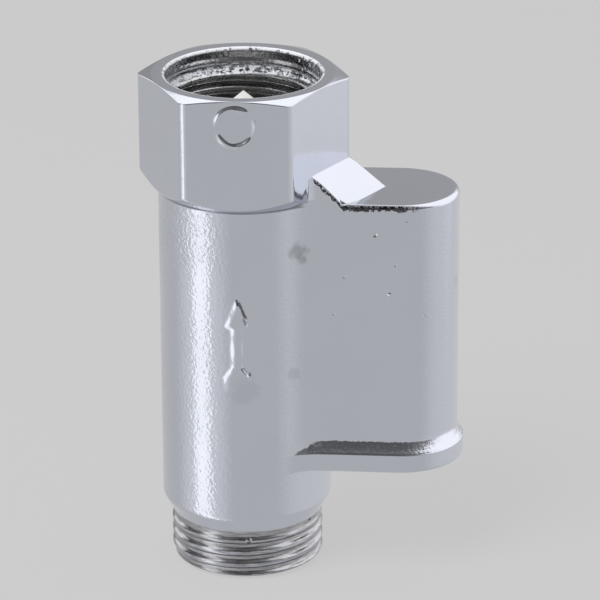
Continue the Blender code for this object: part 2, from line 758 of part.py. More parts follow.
def make_check_guide():
    """Plastic spider: an outer ring, spokes, and a hub that ends in the pointed nose."""
    hub = turned(
        "check_guide",
        [
            (0, NOSE_TIP_Z),
            (GUIDE_HUB_R, NOSE_BASE_Z),
            (GUIDE_HUB_R, GUIDE_BOTTOM_Z),
            (GUIDE_BORE_R, GUIDE_BOTTOM_Z),
            (GUIDE_BORE_R, GUIDE_BORE_TOP_Z),
            (0, GUIDE_BORE_TOP_Z),
        ],
        MAIN_X, SEGMENTS_SMALL,
    )
    ring = turned(
        "guide_ring",
        [
            (GUIDE_R - GUIDE_RING_WALL, GUIDE_TOP_Z),
            (GUIDE_R, GUIDE_TOP_Z),
            (GUIDE_R, GUIDE_Z),
            (GUIDE_R - GUIDE_RING_WALL, GUIDE_Z),
        ],
        MAIN_X, SEGMENTS_SMALL, ring=True,
    )
    combine(hub, ring, "UNION")
    inner = (GUIDE_BORE_R + GUIDE_HUB_R) / 2
    outer = GUIDE_R - GUIDE_RING_WALL / 2
    spoke_height = GUIDE_RING_HEIGHT - CLEARANCE
    for index in range(GUIDE_SPOKES):
        angle = 2 * math.pi * (index + 0.5) / GUIDE_SPOKES
        middle = (inner + outer) / 2
        centre = (
            MAIN_X + middle * math.cos(angle), middle * math.sin(angle),
            (GUIDE_Z + GUIDE_TOP_Z) / 2,
        )
        size = (outer - inner, GUIDE_SPOKE_WIDTH, spoke_height)
        spoke = block(f"guide_spoke_{index}", size, centre)
        spoke.rotation_euler.z = angle
        combine(hub, spoke, "UNION")
    place(hub, white_plastic)


def make_check_retaining_ring():
    """Steel ring with an opening at the back, in the groove above the guide."""
    ring = flat_ring(
        "check_retaining_ring", SNAP_RING_R, SNAP_RING_R - SNAP_RING_WIDTH, SNAP_RING_Z,
        SNAP_RING_THICKNESS, MAIN_X, spring_steel,
    )
    middle_r = SNAP_RING_R - SNAP_RING_WIDTH / 2
    size = (SNAP_RING_OPENING, 2 * SNAP_RING_WIDTH, 2 * SNAP_RING_THICKNESS)
    centre = (MAIN_X, middle_r, SNAP_RING_Z + SNAP_RING_THICKNESS / 2)
    combine(ring, block("ring_opening", size, centre), "DIFFERENCE")


def make_relief_disc():
    """Brass hexagon with a cup for the seal above and a spigot for the spring below."""
    cup_top_z = RELIEF_DISC_FLOOR_Z + RELIEF_CUP_DEPTH
    disc = prism(
        "relief_disc", 6, RELIEF_DISC_CORNER_R, RELIEF_DISC_CORNER_R, RELIEF_DISC_Z, cup_top_z,
        LOBE_X,
    )
    spigot = turned(
        "relief_spigot",
        [
            (0, RELIEF_DISC_FLOOR_Z - RELIEF_DISC_FLOOR / 4),
            (RELIEF_SPIGOT_R, RELIEF_DISC_FLOOR_Z - RELIEF_DISC_FLOOR / 4),
            (RELIEF_SPIGOT_R, RELIEF_DISC_Z - RELIEF_SPIGOT_LENGTH),
            (0, RELIEF_DISC_Z - RELIEF_SPIGOT_LENGTH),
        ],
        LOBE_X, SEGMENTS_SMALL,
    )
    cup = turned(
        "relief_cup",
        [
            (0, cup_top_z + OVERRUN),
            (RELIEF_CUP_R, cup_top_z + OVERRUN),
            (RELIEF_CUP_R, RELIEF_DISC_FLOOR_Z),
            (SCREW_HOLE_R, RELIEF_DISC_FLOOR_Z),
            (SCREW_HOLE_R, SCREW_END_Z - CLEARANCE),
            (0, SCREW_END_Z - CLEARANCE),
        ],
        LOBE_X, SEGMENTS_SMALL,
    )
    combine(disc, spigot, "UNION")
    combine(disc, cup, "DIFFERENCE")
    place(disc, bare_brass)


def make_relief_seal():
    flat_ring(
        "relief_seal", RELIEF_SEAL_R, SCREW_HOLE_R, RELIEF_SEAL_Z, RELIEF_SEAL_THICKNESS, LOBE_X,
        black_rubber,
    )


def make_relief_seal_screw():
    profile = [
        (0, SCREW_HEAD_Z + RELIEF_SCREW_HEAD),
        (RELIEF_SCREW_HEAD_R, SCREW_HEAD_Z + RELIEF_SCREW_HEAD),
        (RELIEF_SCREW_HEAD_R, SCREW_HEAD_Z),
        (RELIEF_SCREW_R, SCREW_HEAD_Z),
        (RELIEF_SCREW_R, SCREW_END_Z),
        (0, SCREW_END_Z),
    ]
    place(turned("relief_seal_screw", profile, LOBE_X, SEGMENTS_SMALL // 2), bare_brass)


def make_relief_spring():
    spring = coil(
        "relief_spring", LOBE_X, SPRING_PLATE_TOP_Z + CLEARANCE, RELIEF_DISC_Z - CLEARANCE,
        RELIEF_SPRING_R, RELIEF_WIRE_R, RELIEF_SPRING_TURNS,
    )
    place(spring, spring_steel)


def make_relief_spring_plate():
    """Steel washer with a collar that centres the spring."""
    collar_top_z = SPRING_PLATE_TOP_Z + SPRING_COLLAR_HEIGHT
    profile = [
        (SPRING_PLATE_BORE_R, collar_top_z),
        (RELIEF_SPIGOT_R, collar_top_z),
        (RELIEF_SPIGOT_R, SPRING_PLATE_TOP_Z),
        (ADJUSTER_R, SPRING_PLATE_TOP_Z),
        (ADJUSTER_R, SPRING_PLATE_Z),
        (SPRING_PLATE_BORE_R, SPRING_PLATE_Z),
    ]
    plate_ring = turned("relief_spring_plate", profile, LOBE_X, SEGMENTS_SMALL, ring=True)
    place(plate_ring, spring_steel)


def make_relief_adjuster():
    """Brass plug with a hexagonal hole right through, for the key and the drain."""
    profile = [
        (0, ADJUSTER_Z + ADJUSTER_LENGTH),
        (ADJUSTER_R, ADJUSTER_Z + ADJUSTER_LENGTH),
        (ADJUSTER_R, ADJUSTER_Z),
        (0, ADJUSTER_Z),
    ]
    plug = turned("relief_adjuster", profile, LOBE_X, SEGMENTS_SMALL)
    key_corner_r = ADJUSTER_HEX_AF / 2 / math.cos(math.radians(30))
    key_hole = prism(
        "key_hole", 6, key_corner_r, key_corner_r, ADJUSTER_Z - OVERRUN,
        ADJUSTER_Z + ADJUSTER_LENGTH + OVERRUN, LOBE_X,
    )
    combine(plug, key_hole, "DIFFERENCE")
    place(plug, bare_brass)


def make_relief_lock_ring():
    """Brass lock ring with a screwdriver slot across its face."""
    ring = flat_ring(
        "relief_lock_ring", ADJUSTER_R, LOCK_RING_BORE_R, LOCK_RING_Z, LOCK_RING_THICKNESS,
        LOBE_X, bare_brass,
    )
    size = (2 * RELIEF_BORE_R, LOCK_SLOT_WIDTH, LOCK_RING_THICKNESS)
    combine(ring, block("lock_slot", size, (LOBE_X, 0, LOCK_RING_Z)), "DIFFERENCE")


make_valve_body()
make_check_seat()
make_check_seat_oring()
make_check_poppet()
make_check_seal()
make_check_seal_washer()
make_check_spring()
make_check_guide()
make_check_retaining_ring()
make_relief_disc()
make_relief_seal()
make_relief_seal_screw()
make_relief_spring()
make_relief_spring_plate()
make_relief_adjuster()
make_relief_lock_ring()
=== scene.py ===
"""The looks of a water heater's safety valve: one chrome-plated casting and what works inside it.

Sizes are in millimetres, and each mesh is turned into metres when it is made. Plan shapes of the
casting are worked out from its main axis, which the frame gives, as does the axis of the lobe.
"""

import math

import bmesh
import bpy
import numpy as np
from mathutils import Matrix, Vector


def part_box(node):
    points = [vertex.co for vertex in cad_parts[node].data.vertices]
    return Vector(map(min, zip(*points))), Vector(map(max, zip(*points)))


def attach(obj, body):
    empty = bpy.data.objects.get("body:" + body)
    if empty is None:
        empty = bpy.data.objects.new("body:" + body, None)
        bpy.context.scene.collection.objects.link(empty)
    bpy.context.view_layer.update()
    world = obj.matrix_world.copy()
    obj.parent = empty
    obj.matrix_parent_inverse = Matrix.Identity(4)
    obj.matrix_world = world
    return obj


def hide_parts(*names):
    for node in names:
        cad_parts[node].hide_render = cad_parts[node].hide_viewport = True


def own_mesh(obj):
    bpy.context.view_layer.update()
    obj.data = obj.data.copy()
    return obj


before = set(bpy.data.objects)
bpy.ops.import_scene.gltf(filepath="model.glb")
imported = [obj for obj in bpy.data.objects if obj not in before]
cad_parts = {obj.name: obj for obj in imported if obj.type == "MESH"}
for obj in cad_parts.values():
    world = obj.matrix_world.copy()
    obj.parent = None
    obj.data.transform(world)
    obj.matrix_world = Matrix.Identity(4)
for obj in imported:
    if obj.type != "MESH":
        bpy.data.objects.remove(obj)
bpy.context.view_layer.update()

MM = 0.001


def axis_x(node):
    """The X of a turned node's middle, in millimetres."""
    low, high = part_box(node)
    return (low[0] + high[0]) / 2 / MM


MAIN_X = axis_x("check_guide")
LOBE_X = axis_x("relief_adjuster")
LOBE_OFFSET = LOBE_X - MAIN_X

# Barrel and pipe threads
BODY_HEIGHT = 70.4
BARREL_R = 11.7
THREAD_MAJOR_R = 10.48
THREAD_MINOR_R = 9.32
MALE_ROOT_R = 10.1
THREAD_PITCH = 1.814
MALE_TOP_Z = 7.0
MALE_CHAMFER = 1.0
TAPER_TOP_Z = 9.6
TAPER_R = 10.3

# Hexagon, with corners along X: its first flat faces FLAT_ANGLE away from X
FLAT_ANGLE = math.radians(30)
HEX_APOTHEM = 12.5
HEX_SIDE = HEX_APOTHEM / math.cos(FLAT_ANGLE)
HEX_BOTTOM_Z = 54.5
UNDER_SLOPE = 0.75
HEX_EDGE_R = 1.3
CORNER_ANGLES = np.array([-30.0, -14.0, -10.0, 10.0, 14.0, 30.0])
HEX_TOP_SLOPE = math.tan(math.radians(15))
RIM_R = 12.4
MOUTH_R = 10.5
MOUTH_EDGE_R = 0.55
LEDGE_Z = 67.6
LEDGE_DROP = 0.25

# Lobe and the ramp between it and the hexagon
LOBE_R = 7.66
LOBE_BOTTOM_Z = 15.9
LOBE_TOP_Z = 54.5
LOBE_FILLET_R = 10.0
LIP_PROJECTION = 0.85
LIP_TOP_Z = 18.45
COVE_R = 3.0
LOBE_EDGE_R = 0.7
RAMP_TOP_Z = 58.6
RAMP_SHOULDER = 0.25
SHOULDER_WIDTH = 2.5

# Bores
FEMALE_Z = 62.6
GROOVE_TOP_Z = 62.0
GROOVE_Z = 60.7
GROOVE_R = 10.28
SOCKET_Z = 58.4
CHECK_BORE_R = 8.3
CHECK_SHOULDER_Z = 36.0
INLET_BORE_R = 7.25
INLET_CHAMFER = 0.5

# Marks on the casting
ARROW_X = -0.12
ARROW_BOTTOM_Z = 27.7
ARROW_RISE = 0.3
ARROW_EDGE_LEFT = 0.85
ARROW_EDGE_RIGHT = 0.5
RING_R = 2.6
RING_Z = 66.8
RING_RISE = 0.28
RING_WIDTH = 0.3
MARK_HALF_WIDTH = 3.3
ARROW_ROWS_Z = (26.8, 42.9)
RING_ROWS_Z = 63.6


WELD = 0.002


def mesh_piece(name, vertices, faces):
    """A smooth mesh object from an array of points in millimetres and an array of quads.

    Points closer than WELD become one, and the faces are turned outwards.
    """
    mesh = bpy.data.meshes.new(name)
    mesh.vertices.add(len(vertices))
    mesh.vertices.foreach_set("co", (np.asarray(vertices, float) * MM).ravel())
    mesh.loops.add(faces.size)
    mesh.loops.foreach_set("vertex_index", faces.ravel().astype(np.int32))
    mesh.polygons.add(len(faces))
    mesh.polygons.foreach_set("loop_start", np.arange(0, faces.size, 4, dtype=np.int32))
    mesh.update(calc_edges=True)
    mesh.validate()
    tidy = bmesh.new()
    tidy.from_mesh(mesh)
    bmesh.ops.remove_doubles(tidy, verts=tidy.verts, dist=WELD * MM)
    bmesh.ops.recalc_face_normals(tidy, faces=tidy.faces)
    tidy.to_mesh(mesh)
    tidy.free()
    mesh.shade_smooth()
    obj = bpy.data.objects.new(name, mesh)
    bpy.context.scene.collection.objects.link(obj)
    return obj


def grid_faces(rows, columns, close_rows=True, close_columns=True):
    """Quads between neighbouring rows and columns of a grid of points, closed on request."""
    row = np.arange(rows if close_rows else rows - 1)
    column = np.arange(columns if close_columns else columns - 1)
    row, column = np.meshgrid(row, column, indexing="ij")
    next_row = (row + 1) % rows
    next_column = (column + 1) % columns
    corners = (
        row * columns + column,
        row * columns + next_column,
        next_row * columns + next_column,
        next_row * columns + column,
    )
    return np.stack(corners, axis=-1).reshape(-1, 4)


def smoothstep(value, start, end):
    """0 below start, 1 above end, and 3t^2 - 2t^3 between them."""
    t = np.clip((value - start) / (end - start), 0, 1)
    return t * t * (3 - 2 * t)


def between(values, low, high):
    """Where values lie between two limits."""
    return (values > low) & (values < high)


# Columns of the casting


def hexagon_points(flat, along):
    """Points on one flat of the hexagon: its middle plus a distance along it."""
    angle = np.radians(30 + 60 * flat)
    along = np.atleast_1d(along)
    return np.stack(
        [
            HEX_APOTHEM * np.cos(angle) - along * np.sin(angle),
            HEX_APOTHEM * np.sin(angle) + along * np.cos(angle),
        ],
        axis=-1,
    )


def hexagon_corner(corner, angles):
    """Points round one rounded corner: an arc about a centre inside it, angles in degrees."""
    centre = (HEX_APOTHEM - HEX_EDGE_R) / math.cos(FLAT_ANGLE)
    middle = math.radians(60 * corner)
    angle = middle + np.radians(angles)
    return np.stack(
        [
            centre * math.cos(middle) + HEX_EDGE_R * np.cos(angle),
            centre * math.sin(middle) + HEX_EDGE_R * np.sin(angle),
        ],
        axis=-1,
    )


# Columns round the lobe's end, along its wall, in its fillet and where it joins the barrel
END_STEPS = 12
WALL_X = (19.3, 17.2, 16.0, 15.3, 14.7, 14.2, 13.7, 13.3, 12.95)
WALL_STEPS = len(WALL_X) + 1
FILLET_OUTER_STEPS = 3
FILLET_INNER_STEPS = 4
JOIN_STEPS = 5

# Columns along the hexagon's flats, with one close to each corner
FLAT_COLUMNS = 12
FLAT_END_COLUMNS = 3
MARK_COLUMNS = 46
SUPPORT = 0.25
CORNER_CUT = HEX_EDGE_R * math.tan(FLAT_ANGLE)
FLAT_END = HEX_SIDE / 2 - CORNER_CUT
CROSSING = END_STEPS + WALL_STEPS + FILLET_OUTER_STEPS


def fillet_centre(offset):
    """Centre of the fillet between barrel and lobe, for an outline that far outside the lobe."""
    across = LOBE_R + offset + LOBE_FILLET_R
    return math.sqrt((BARREL_R + LOBE_FILLET_R) ** 2 - across**2), across


def crossing_angle():
    """Where on the fillet's arc the lobe's outline meets the hexagon's flat: a line and a circle."""
    centre_x, centre_y = fillet_centre(0)
    gap = HEX_APOTHEM - (centre_x * math.cos(FLAT_ANGLE) + centre_y * math.sin(FLAT_ANGLE))
    return FLAT_ANGLE - math.acos(gap / LOBE_FILLET_R)


def fillet_share():
    """The crossing's place along the arc, from 0 at the wall to 1 at the barrel."""
    centre_x, centre_y = fillet_centre(0)
    tangent = math.atan2(-centre_y, -centre_x)
    return (crossing_angle() + math.pi / 2) / (tangent + math.pi / 2)


CROSSING_SHARE = fillet_share()


def crossing_point():
    """The place where the lobe's outline meets the hexagon's flat."""
    centre_x, centre_y = fillet_centre(0)
    angle = crossing_angle()
    return (
        centre_x + LOBE_FILLET_R * math.cos(angle),
        centre_y + LOBE_FILLET_R * math.sin(angle),
    )


def flat_steps(start, end, count):
    """Distances between two places on a flat, without the first."""
    return np.linspace(start, end, count + 1)[1:]


def half_hexagon(marked):
    """The hexagon's half outline from the lobe's side round to the far side.

    A marked half has close columns in the middle of its flat, for the arrow and the ring.
    """
    crossing_x, crossing_y = crossing_point()
    crossing = crossing_y * math.cos(FLAT_ANGLE) - crossing_x * math.sin(FLAT_ANGLE)
    first_corner = hexagon_corner(0, np.maximum(CORNER_ANGLES[2:], 0))
    near_end = FLAT_END - SUPPORT
    if marked:
        middle = np.concatenate(
            [
                flat_steps(-near_end, -MARK_HALF_WIDTH, FLAT_END_COLUMNS),
                flat_steps(-MARK_HALF_WIDTH, MARK_HALF_WIDTH, MARK_COLUMNS),
                flat_steps(MARK_HALF_WIDTH, near_end, FLAT_END_COLUMNS),
            ]
        )
    else:
        middle = flat_steps(-near_end, near_end, FLAT_COLUMNS)
    return np.concatenate(
        [
            first_corner,
            hexagon_points(0, -near_end),
            hexagon_points(0, flat_steps(-near_end, crossing, CROSSING - len(first_corner))),
            hexagon_points(0, flat_steps(crossing, near_end, FLAT_END_COLUMNS)),
            hexagon_corner(1, CORNER_ANGLES),
            hexagon_points(1, -near_end),
            hexagon_points(1, middle),
            hexagon_corner(2, CORNER_ANGLES),
            hexagon_points(2, -near_end),
            hexagon_points(2, flat_steps(-near_end, near_end, FLAT_COLUMNS)),
            hexagon_corner(3, np.minimum(CORNER_ANGLES[:4], 0)),
        ]
    )


JOIN = CROSSING + FILLET_INNER_STEPS + JOIN_STEPS


def half_lobe(half, offset):
    """The lobe's outline beside a half hexagon: round end, wall, fillet, then the barrel."""
    wall_y = LOBE_R + offset
    centre_x, centre_y = fillet_centre(offset)
    end = np.linspace(0, np.pi / 2, END_STEPS + 1)
    tangent = math.atan2(-centre_y, -centre_x)
    meeting = -np.pi / 2 + CROSSING_SHARE * (tangent + np.pi / 2)
    outer = np.linspace(-np.pi / 2, meeting, FILLET_OUTER_STEPS + 1)[1:]
    inner = np.linspace(meeting, tangent, FILLET_INNER_STEPS + 1)[1:]
    fillet = np.concatenate([outer, inner])
    polar = np.arctan2(half[:, 1], half[:, 0])
    join = np.linspace(tangent + np.pi, polar[JOIN], JOIN_STEPS + 1)[1:]
    barrel = np.concatenate([join, polar[JOIN + 1:]])
    wall_x = np.append(WALL_X, centre_x)
    parts = [
        np.stack([LOBE_OFFSET + wall_y * np.cos(end), wall_y * np.sin(end)], axis=-1),
        np.stack([wall_x, np.full(WALL_STEPS, wall_y)], axis=-1),
        np.stack(
            [
                centre_x + LOBE_FILLET_R * np.cos(fillet),
                centre_y + LOBE_FILLET_R * np.sin(fillet),
            ],
            axis=-1,
        ),
        BARREL_R * np.stack([np.cos(barrel), np.sin(barrel)], axis=-1),
    ]
    return np.concatenate(parts)


def whole(front, back):
    """A full outline from its two halves, from the lobe's end round the back and the front."""
    return np.concatenate([back, (front * (1, -1))[-2:0:-1]])


FRONT_HEX = half_hexagon(marked=True)
BACK_HEX = half_hexagon(marked=False)
HEX_PLAN = whole(FRONT_HEX, BACK_HEX)
POLAR = np.arctan2(HEX_PLAN[:, 1], HEX_PLAN[:, 0])
ROUND = np.stack([np.cos(POLAR), np.sin(POLAR)], axis=-1)
COLUMNS = len(HEX_PLAN)
HALF_INDEX = whole(
    np.stack([np.arange(len(FRONT_HEX))] * 2, axis=-1) * (1, -1),
    np.stack([np.arange(len(BACK_HEX))] * 2, axis=-1),
)[:, 0]
OUTSIDE = HALF_INDEX < CROSSING


def lobe_plan(offset):
    """The whole outline of lobe and barrel, moved outwards by an offset beside the lobe."""
    return whole(half_lobe(FRONT_HEX, offset), half_lobe(BACK_HEX, offset))


# Rows of the casting


def at(plan, height):
    """Points of one row: a plan, or a radius from the main axis, at a height."""
    if np.isscalar(plan):
        plan = plan * ROUND
    height = np.broadcast_to(height, COLUMNS)
    return np.column_stack([plan, height])


def unit(vector):
    """Vectors brought to a length of 1, or left at 0 where they have none."""
    length = np.linalg.norm(vector, axis=-1, keepdims=True)
    return np.divide(vector, length, out=np.zeros_like(vector), where=length > 1e-9)


ARC_POINTS = 5
MOST_CUT = 0.35
SUPPORT_GAP = 0.15
SUPPORT_SHARE = 0.12


def rounded_corner(before, corner, after, radius):
    """Rows that round a corner: a quadratic curve between two tangent points, and two close rows.

    The tangent points lie radius * tan(half the turn) from the corner, but no further than MOST_CUT
    of the shorter side. The rows beyond them keep the faces beside the corner flat in their shading.
    """
    towards_before = unit(before - corner)
    towards_after = unit(after - corner)
    length_before = np.linalg.norm(before - corner, axis=-1)
    length_after = np.linalg.norm(after - corner, axis=-1)
    shorter = np.minimum(length_before, length_after)
    cosine = np.clip(-(towards_before * towards_after).sum(axis=-1), -0.999, 1)
    cut = np.minimum(radius * np.tan(np.arccos(cosine) / 2), MOST_CUT * shorter)[:, None]
    gap_before = np.minimum(SUPPORT_GAP, SUPPORT_SHARE * length_before)[:, None]
    gap_after = np.minimum(SUPPORT_GAP, SUPPORT_SHARE * length_after)[:, None]
    start = corner + towards_before * cut
    end = corner + towards_after * cut
    rows = [start + towards_before * gap_before]
    for t in np.linspace(0, 1, ARC_POINTS):
        rows.append((1 - t) ** 2 * start + 2 * t * (1 - t) * corner + t**2 * end)
    rows.append(end + towards_after * gap_after)
    return rows


def rows_through(keys):
    """All rows of a closed profile from its corners: (points, radius, rows up to the next one)."""
    rows = []
    blocks = []
    for index, (points, radius, _) in enumerate(keys):
        before = keys[index - 1][0]
        after = keys[(index + 1) % len(keys)][0]
        if np.isscalar(radius) and radius == 0:
            blocks.append([points])
        else:
            blocks.append(rounded_corner(before, points, after, radius))
    for index, block in enumerate(blocks):
        rows.extend(block)
        following = blocks[(index + 1) % len(blocks)][0]
        for t in np.linspace(0, 1, keys[index][2] + 2)[1:-1]:
            rows.append((1 - t) * block[-1] + t * following)
    return np.array(rows)


def ramp_height(plan):
    """The ramp falls 1:1 away from the hexagon's flats, and faster in its shoulder at the wall."""
    across = np.abs(plan[..., 1])
    excess = plan[..., 0] * math.cos(FLAT_ANGLE) + across * math.sin(FLAT_ANGLE) - HEX_APOTHEM
    steeper = 1 + RAMP_SHOULDER * smoothstep(across, LOBE_R - SHOULDER_WIDTH, LOBE_R)
    return np.maximum(LOBE_TOP_Z, RAMP_TOP_Z - steeper * np.maximum(excess, 0))


FOOT_SAMPLES = 401


def ramp_foot(outer, inner):
    """The last place on the way from outer to inner points where the top is still level, 0 to 1."""
    share = np.linspace(0, 1, FOOT_SAMPLES)
    line = outer[:, None] + share[None, :, None] * (inner - outer)[:, None]
    return (share * (ramp_height(line) < LOBE_TOP_Z + 1e-6)).max(axis=1)


def under_cone(plan):
    """Height of the cone under the hexagon, which rises away from the barrel."""
    return HEX_BOTTOM_Z + UNDER_SLOPE * (np.linalg.norm(plan, axis=-1) - BARREL_R)


ARROW_HALF = np.array(
    [
        (0, 14.2), (1.4, 10.6), (0.65, 10.1), (0.65, 4.6), (1.7, 3.0), (1.7, 0), (0, 1.2),
    ]
)
ARROW_OUTLINE = np.concatenate([ARROW_HALF, (ARROW_HALF * (-1, 1))[-2:0:-1]])


def outline_distance(points, outline):
    """Signed distance from points to a closed outline, below zero inside it.

    The least distance to any of its edges, with the sign from counting the edges crossed.
    """
    start = outline
    edge = np.roll(outline, -1, axis=0) - outline
    offset = points[:, None, :] - start[None]
    share = np.clip((offset * edge).sum(-1) / (edge * edge).sum(-1), 0, 1)
    nearest = np.linalg.norm(offset - share[..., None] * edge, axis=-1).min(axis=1)
    end = start + edge
    level = points[:, None, 1]
    spans = (start[:, 1] > level) != (end[:, 1] > level)
    rise = np.where(np.abs(edge[:, 1]) > 1e-9, edge[:, 1], 1e-9)
    cross_x = start[:, 0] + (level - start[:, 1]) / rise * edge[:, 0]
    inside = (spans & (points[:, None, 0] < cross_x)).sum(axis=1) % 2 == 1
    return np.where(inside, -nearest, nearest)


def arrow_rise(across, up):
    """Height of the cast arrow: a plateau whose edge falls off smoothly across the outline."""
    points = np.stack([across - ARROW_X, up - ARROW_BOTTOM_Z], axis=-1)
    distance = outline_distance(points, ARROW_OUTLINE)
    right = smoothstep(points[:, 0], -0.2, 0.5)
    edge = ARROW_EDGE_LEFT + (ARROW_EDGE_RIGHT - ARROW_EDGE_LEFT) * right
    worn = smoothstep(points[:, 1], 0.6, 3.4) * (0.8 + 0.2 * np.sin(1.9 * points[:, 1] + 0.5))
    return ARROW_RISE * worn * smoothstep(-distance / edge, -0.5, 0.5)


def ring_rise(across, up):
    """Height of the plain raised ring: a bell curve of the distance from its circle.

    Slow sines round it make it a little uneven and low in places, as it came from the mould.
    """
    turn = np.arctan2(up - RING_Z, across)
    distance = np.hypot(across, up - RING_Z) - RING_R - 0.08 * np.sin(3 * turn + 0.6)
    worn = 0.58 + 0.32 * np.sin(2 * turn - 2.1) + 0.3 * np.sin(5 * turn + 1.0)
    return RING_RISE * np.clip(worn, 0.15, 1) * np.exp(-((distance / RING_WIDTH) ** 2))


FLANK_STEEPNESS = 1.6


def thread_wave(polar, height):
    """Pipe thread section, 0 in its groove and 1 on its crest, along a right-hand helix.

    A triangle wave of height over pitch less the turn, made steeper and rounded by a sine.
    """
    phase = height / THREAD_PITCH - polar / (2 * np.pi)
    triangle = 1 - 4 * np.abs(phase - np.floor(phase) - 0.5)
    return 0.5 + 0.5 * np.sin(np.pi / 2 * np.clip(FLANK_STEEPNESS * triangle, -1, 1))


# Where threads and marks begin and end
NEAR = 0.02
MALE_END_R = THREAD_MINOR_R - 0.3
MALE_RUNOUT = 1.1
LEAD_HEIGHT = 0.7
LEAD_DEPTH = 0.6
FEMALE_RUNOUT = 1.2
CREST_WEAR = 0.22
CREST_WEAR_Z = (68.2, 69.5)
CREST_WEAR_START = 0.3
FEMALE_TOP_Z = BODY_HEIGHT - 0.8
FRONT_ANGLE = 0.3
ARROW_SPAN_Z = (26, 44)
RING_SPAN_Z = (60, BODY_HEIGHT)


def cut_threads(rows):
    """Move the rows of both threaded stretches in or out along the helix, fading at its ends."""
    depth = THREAD_MAJOR_R - THREAD_MINOR_R
    radius = np.hypot(rows[..., 0], rows[..., 1])
    height = rows[..., 2]
    polar = np.broadcast_to(POLAR, height.shape)
    wave = thread_wave(polar, height)
    outer = between(height, NEAR, MALE_TOP_Z - NEAR) & (radius > MALE_END_R - NEAR)
    runout = smoothstep(height, MALE_TOP_Z - MALE_RUNOUT, MALE_TOP_Z)
    fade = smoothstep(height, 0, MALE_CHAMFER) * (1 - runout)
    root = MALE_ROOT_R - LEAD_DEPTH * (1 - smoothstep(height, 0, LEAD_HEIGHT))
    male = root + (THREAD_MAJOR_R - MALE_ROOT_R) * wave * fade
    male = male * (1 - runout) + TAPER_R * runout
    inner = between(height, FEMALE_Z + NEAR, FEMALE_TOP_Z) & (radius < MOUTH_R + NEAR)
    fade = smoothstep(height, FEMALE_Z, FEMALE_Z + FEMALE_RUNOUT)
    groove = THREAD_MINOR_R + depth * (1 - wave) * fade
    worn = smoothstep(height, LEDGE_Z, LEDGE_Z + CREST_WEAR_START)
    worn = worn * (1 - smoothstep(height, *CREST_WEAR_Z))
    female = np.maximum(groove, radius) - CREST_WEAR * wave**3 * worn
    wanted = np.where(outer, male, np.where(inner, female, radius))
    rows[..., 0] *= wanted / radius
    rows[..., 1] *= wanted / radius


def raise_marks(rows):
    """Lift the arrow out of the barrel and the ring out of the hexagon's front flat."""
    across, along, height = rows[..., 0], rows[..., 1], rows[..., 2]
    radius = np.hypot(across, along)
    polar = np.broadcast_to(POLAR, height.shape)
    front = (np.abs(polar + np.pi / 2) < FRONT_ANGLE) & (along < 0)
    barrel = front & (np.abs(radius - BARREL_R) < NEAR) & between(height, *ARROW_SPAN_Z)
    lift = np.zeros(height.shape)
    lift[barrel] = arrow_rise((polar[barrel] + np.pi / 2) * BARREL_R, height[barrel])
    rows[..., 0] += lift * np.cos(polar)
    rows[..., 1] += lift * np.sin(polar)
    flat = front & (np.abs(along + HEX_APOTHEM) < 1e-6) & between(height, *RING_SPAN_Z)
    lift = np.zeros(height.shape)
    lift[flat] = ring_rise(across[flat], height[flat])
    rows[..., 1] -= lift


COVE_STEPS = 6
COVE_SUPPORT = 0.6


def cove_keys(lobe):
    """The hollow over the lobe's lip: an arc from the lip's top that ends upright in the wall."""
    start = math.acos((COVE_R - LIP_PROJECTION) / COVE_R)
    keys = []
    for angle in start * np.linspace(1, 0, COVE_STEPS + 1)[1:]:
        plan = lobe_plan(COVE_R * (1 - math.cos(angle)))
        keys.append((at(plan, LIP_TOP_Z + COVE_R * (math.sin(start) - math.sin(angle))), 0, 0))
    keys.append((at(lobe, LIP_TOP_Z + COVE_R * math.sin(start) + COVE_SUPPORT), 0, 4))
    return keys


# The ramp: where its rows lie between the lobe's outline and the hexagon's, as shares or lengths
WALL_FADE_COLUMNS = 4
WALL_FADE = 0.28
EDGE_REACH = 0.3
EDGE_LIMIT = 0.2
INSIDE_REACH = 1.0
INSIDE_LIMIT = 0.45
FOOT_GAP = 0.04
FOOT_LIMIT = 0.9
BEFORE_FOOT = (0, 0.25, 0.5, 0.75)
BEYOND_FOOT = np.linspace(0, 1, 7)[1:-1]


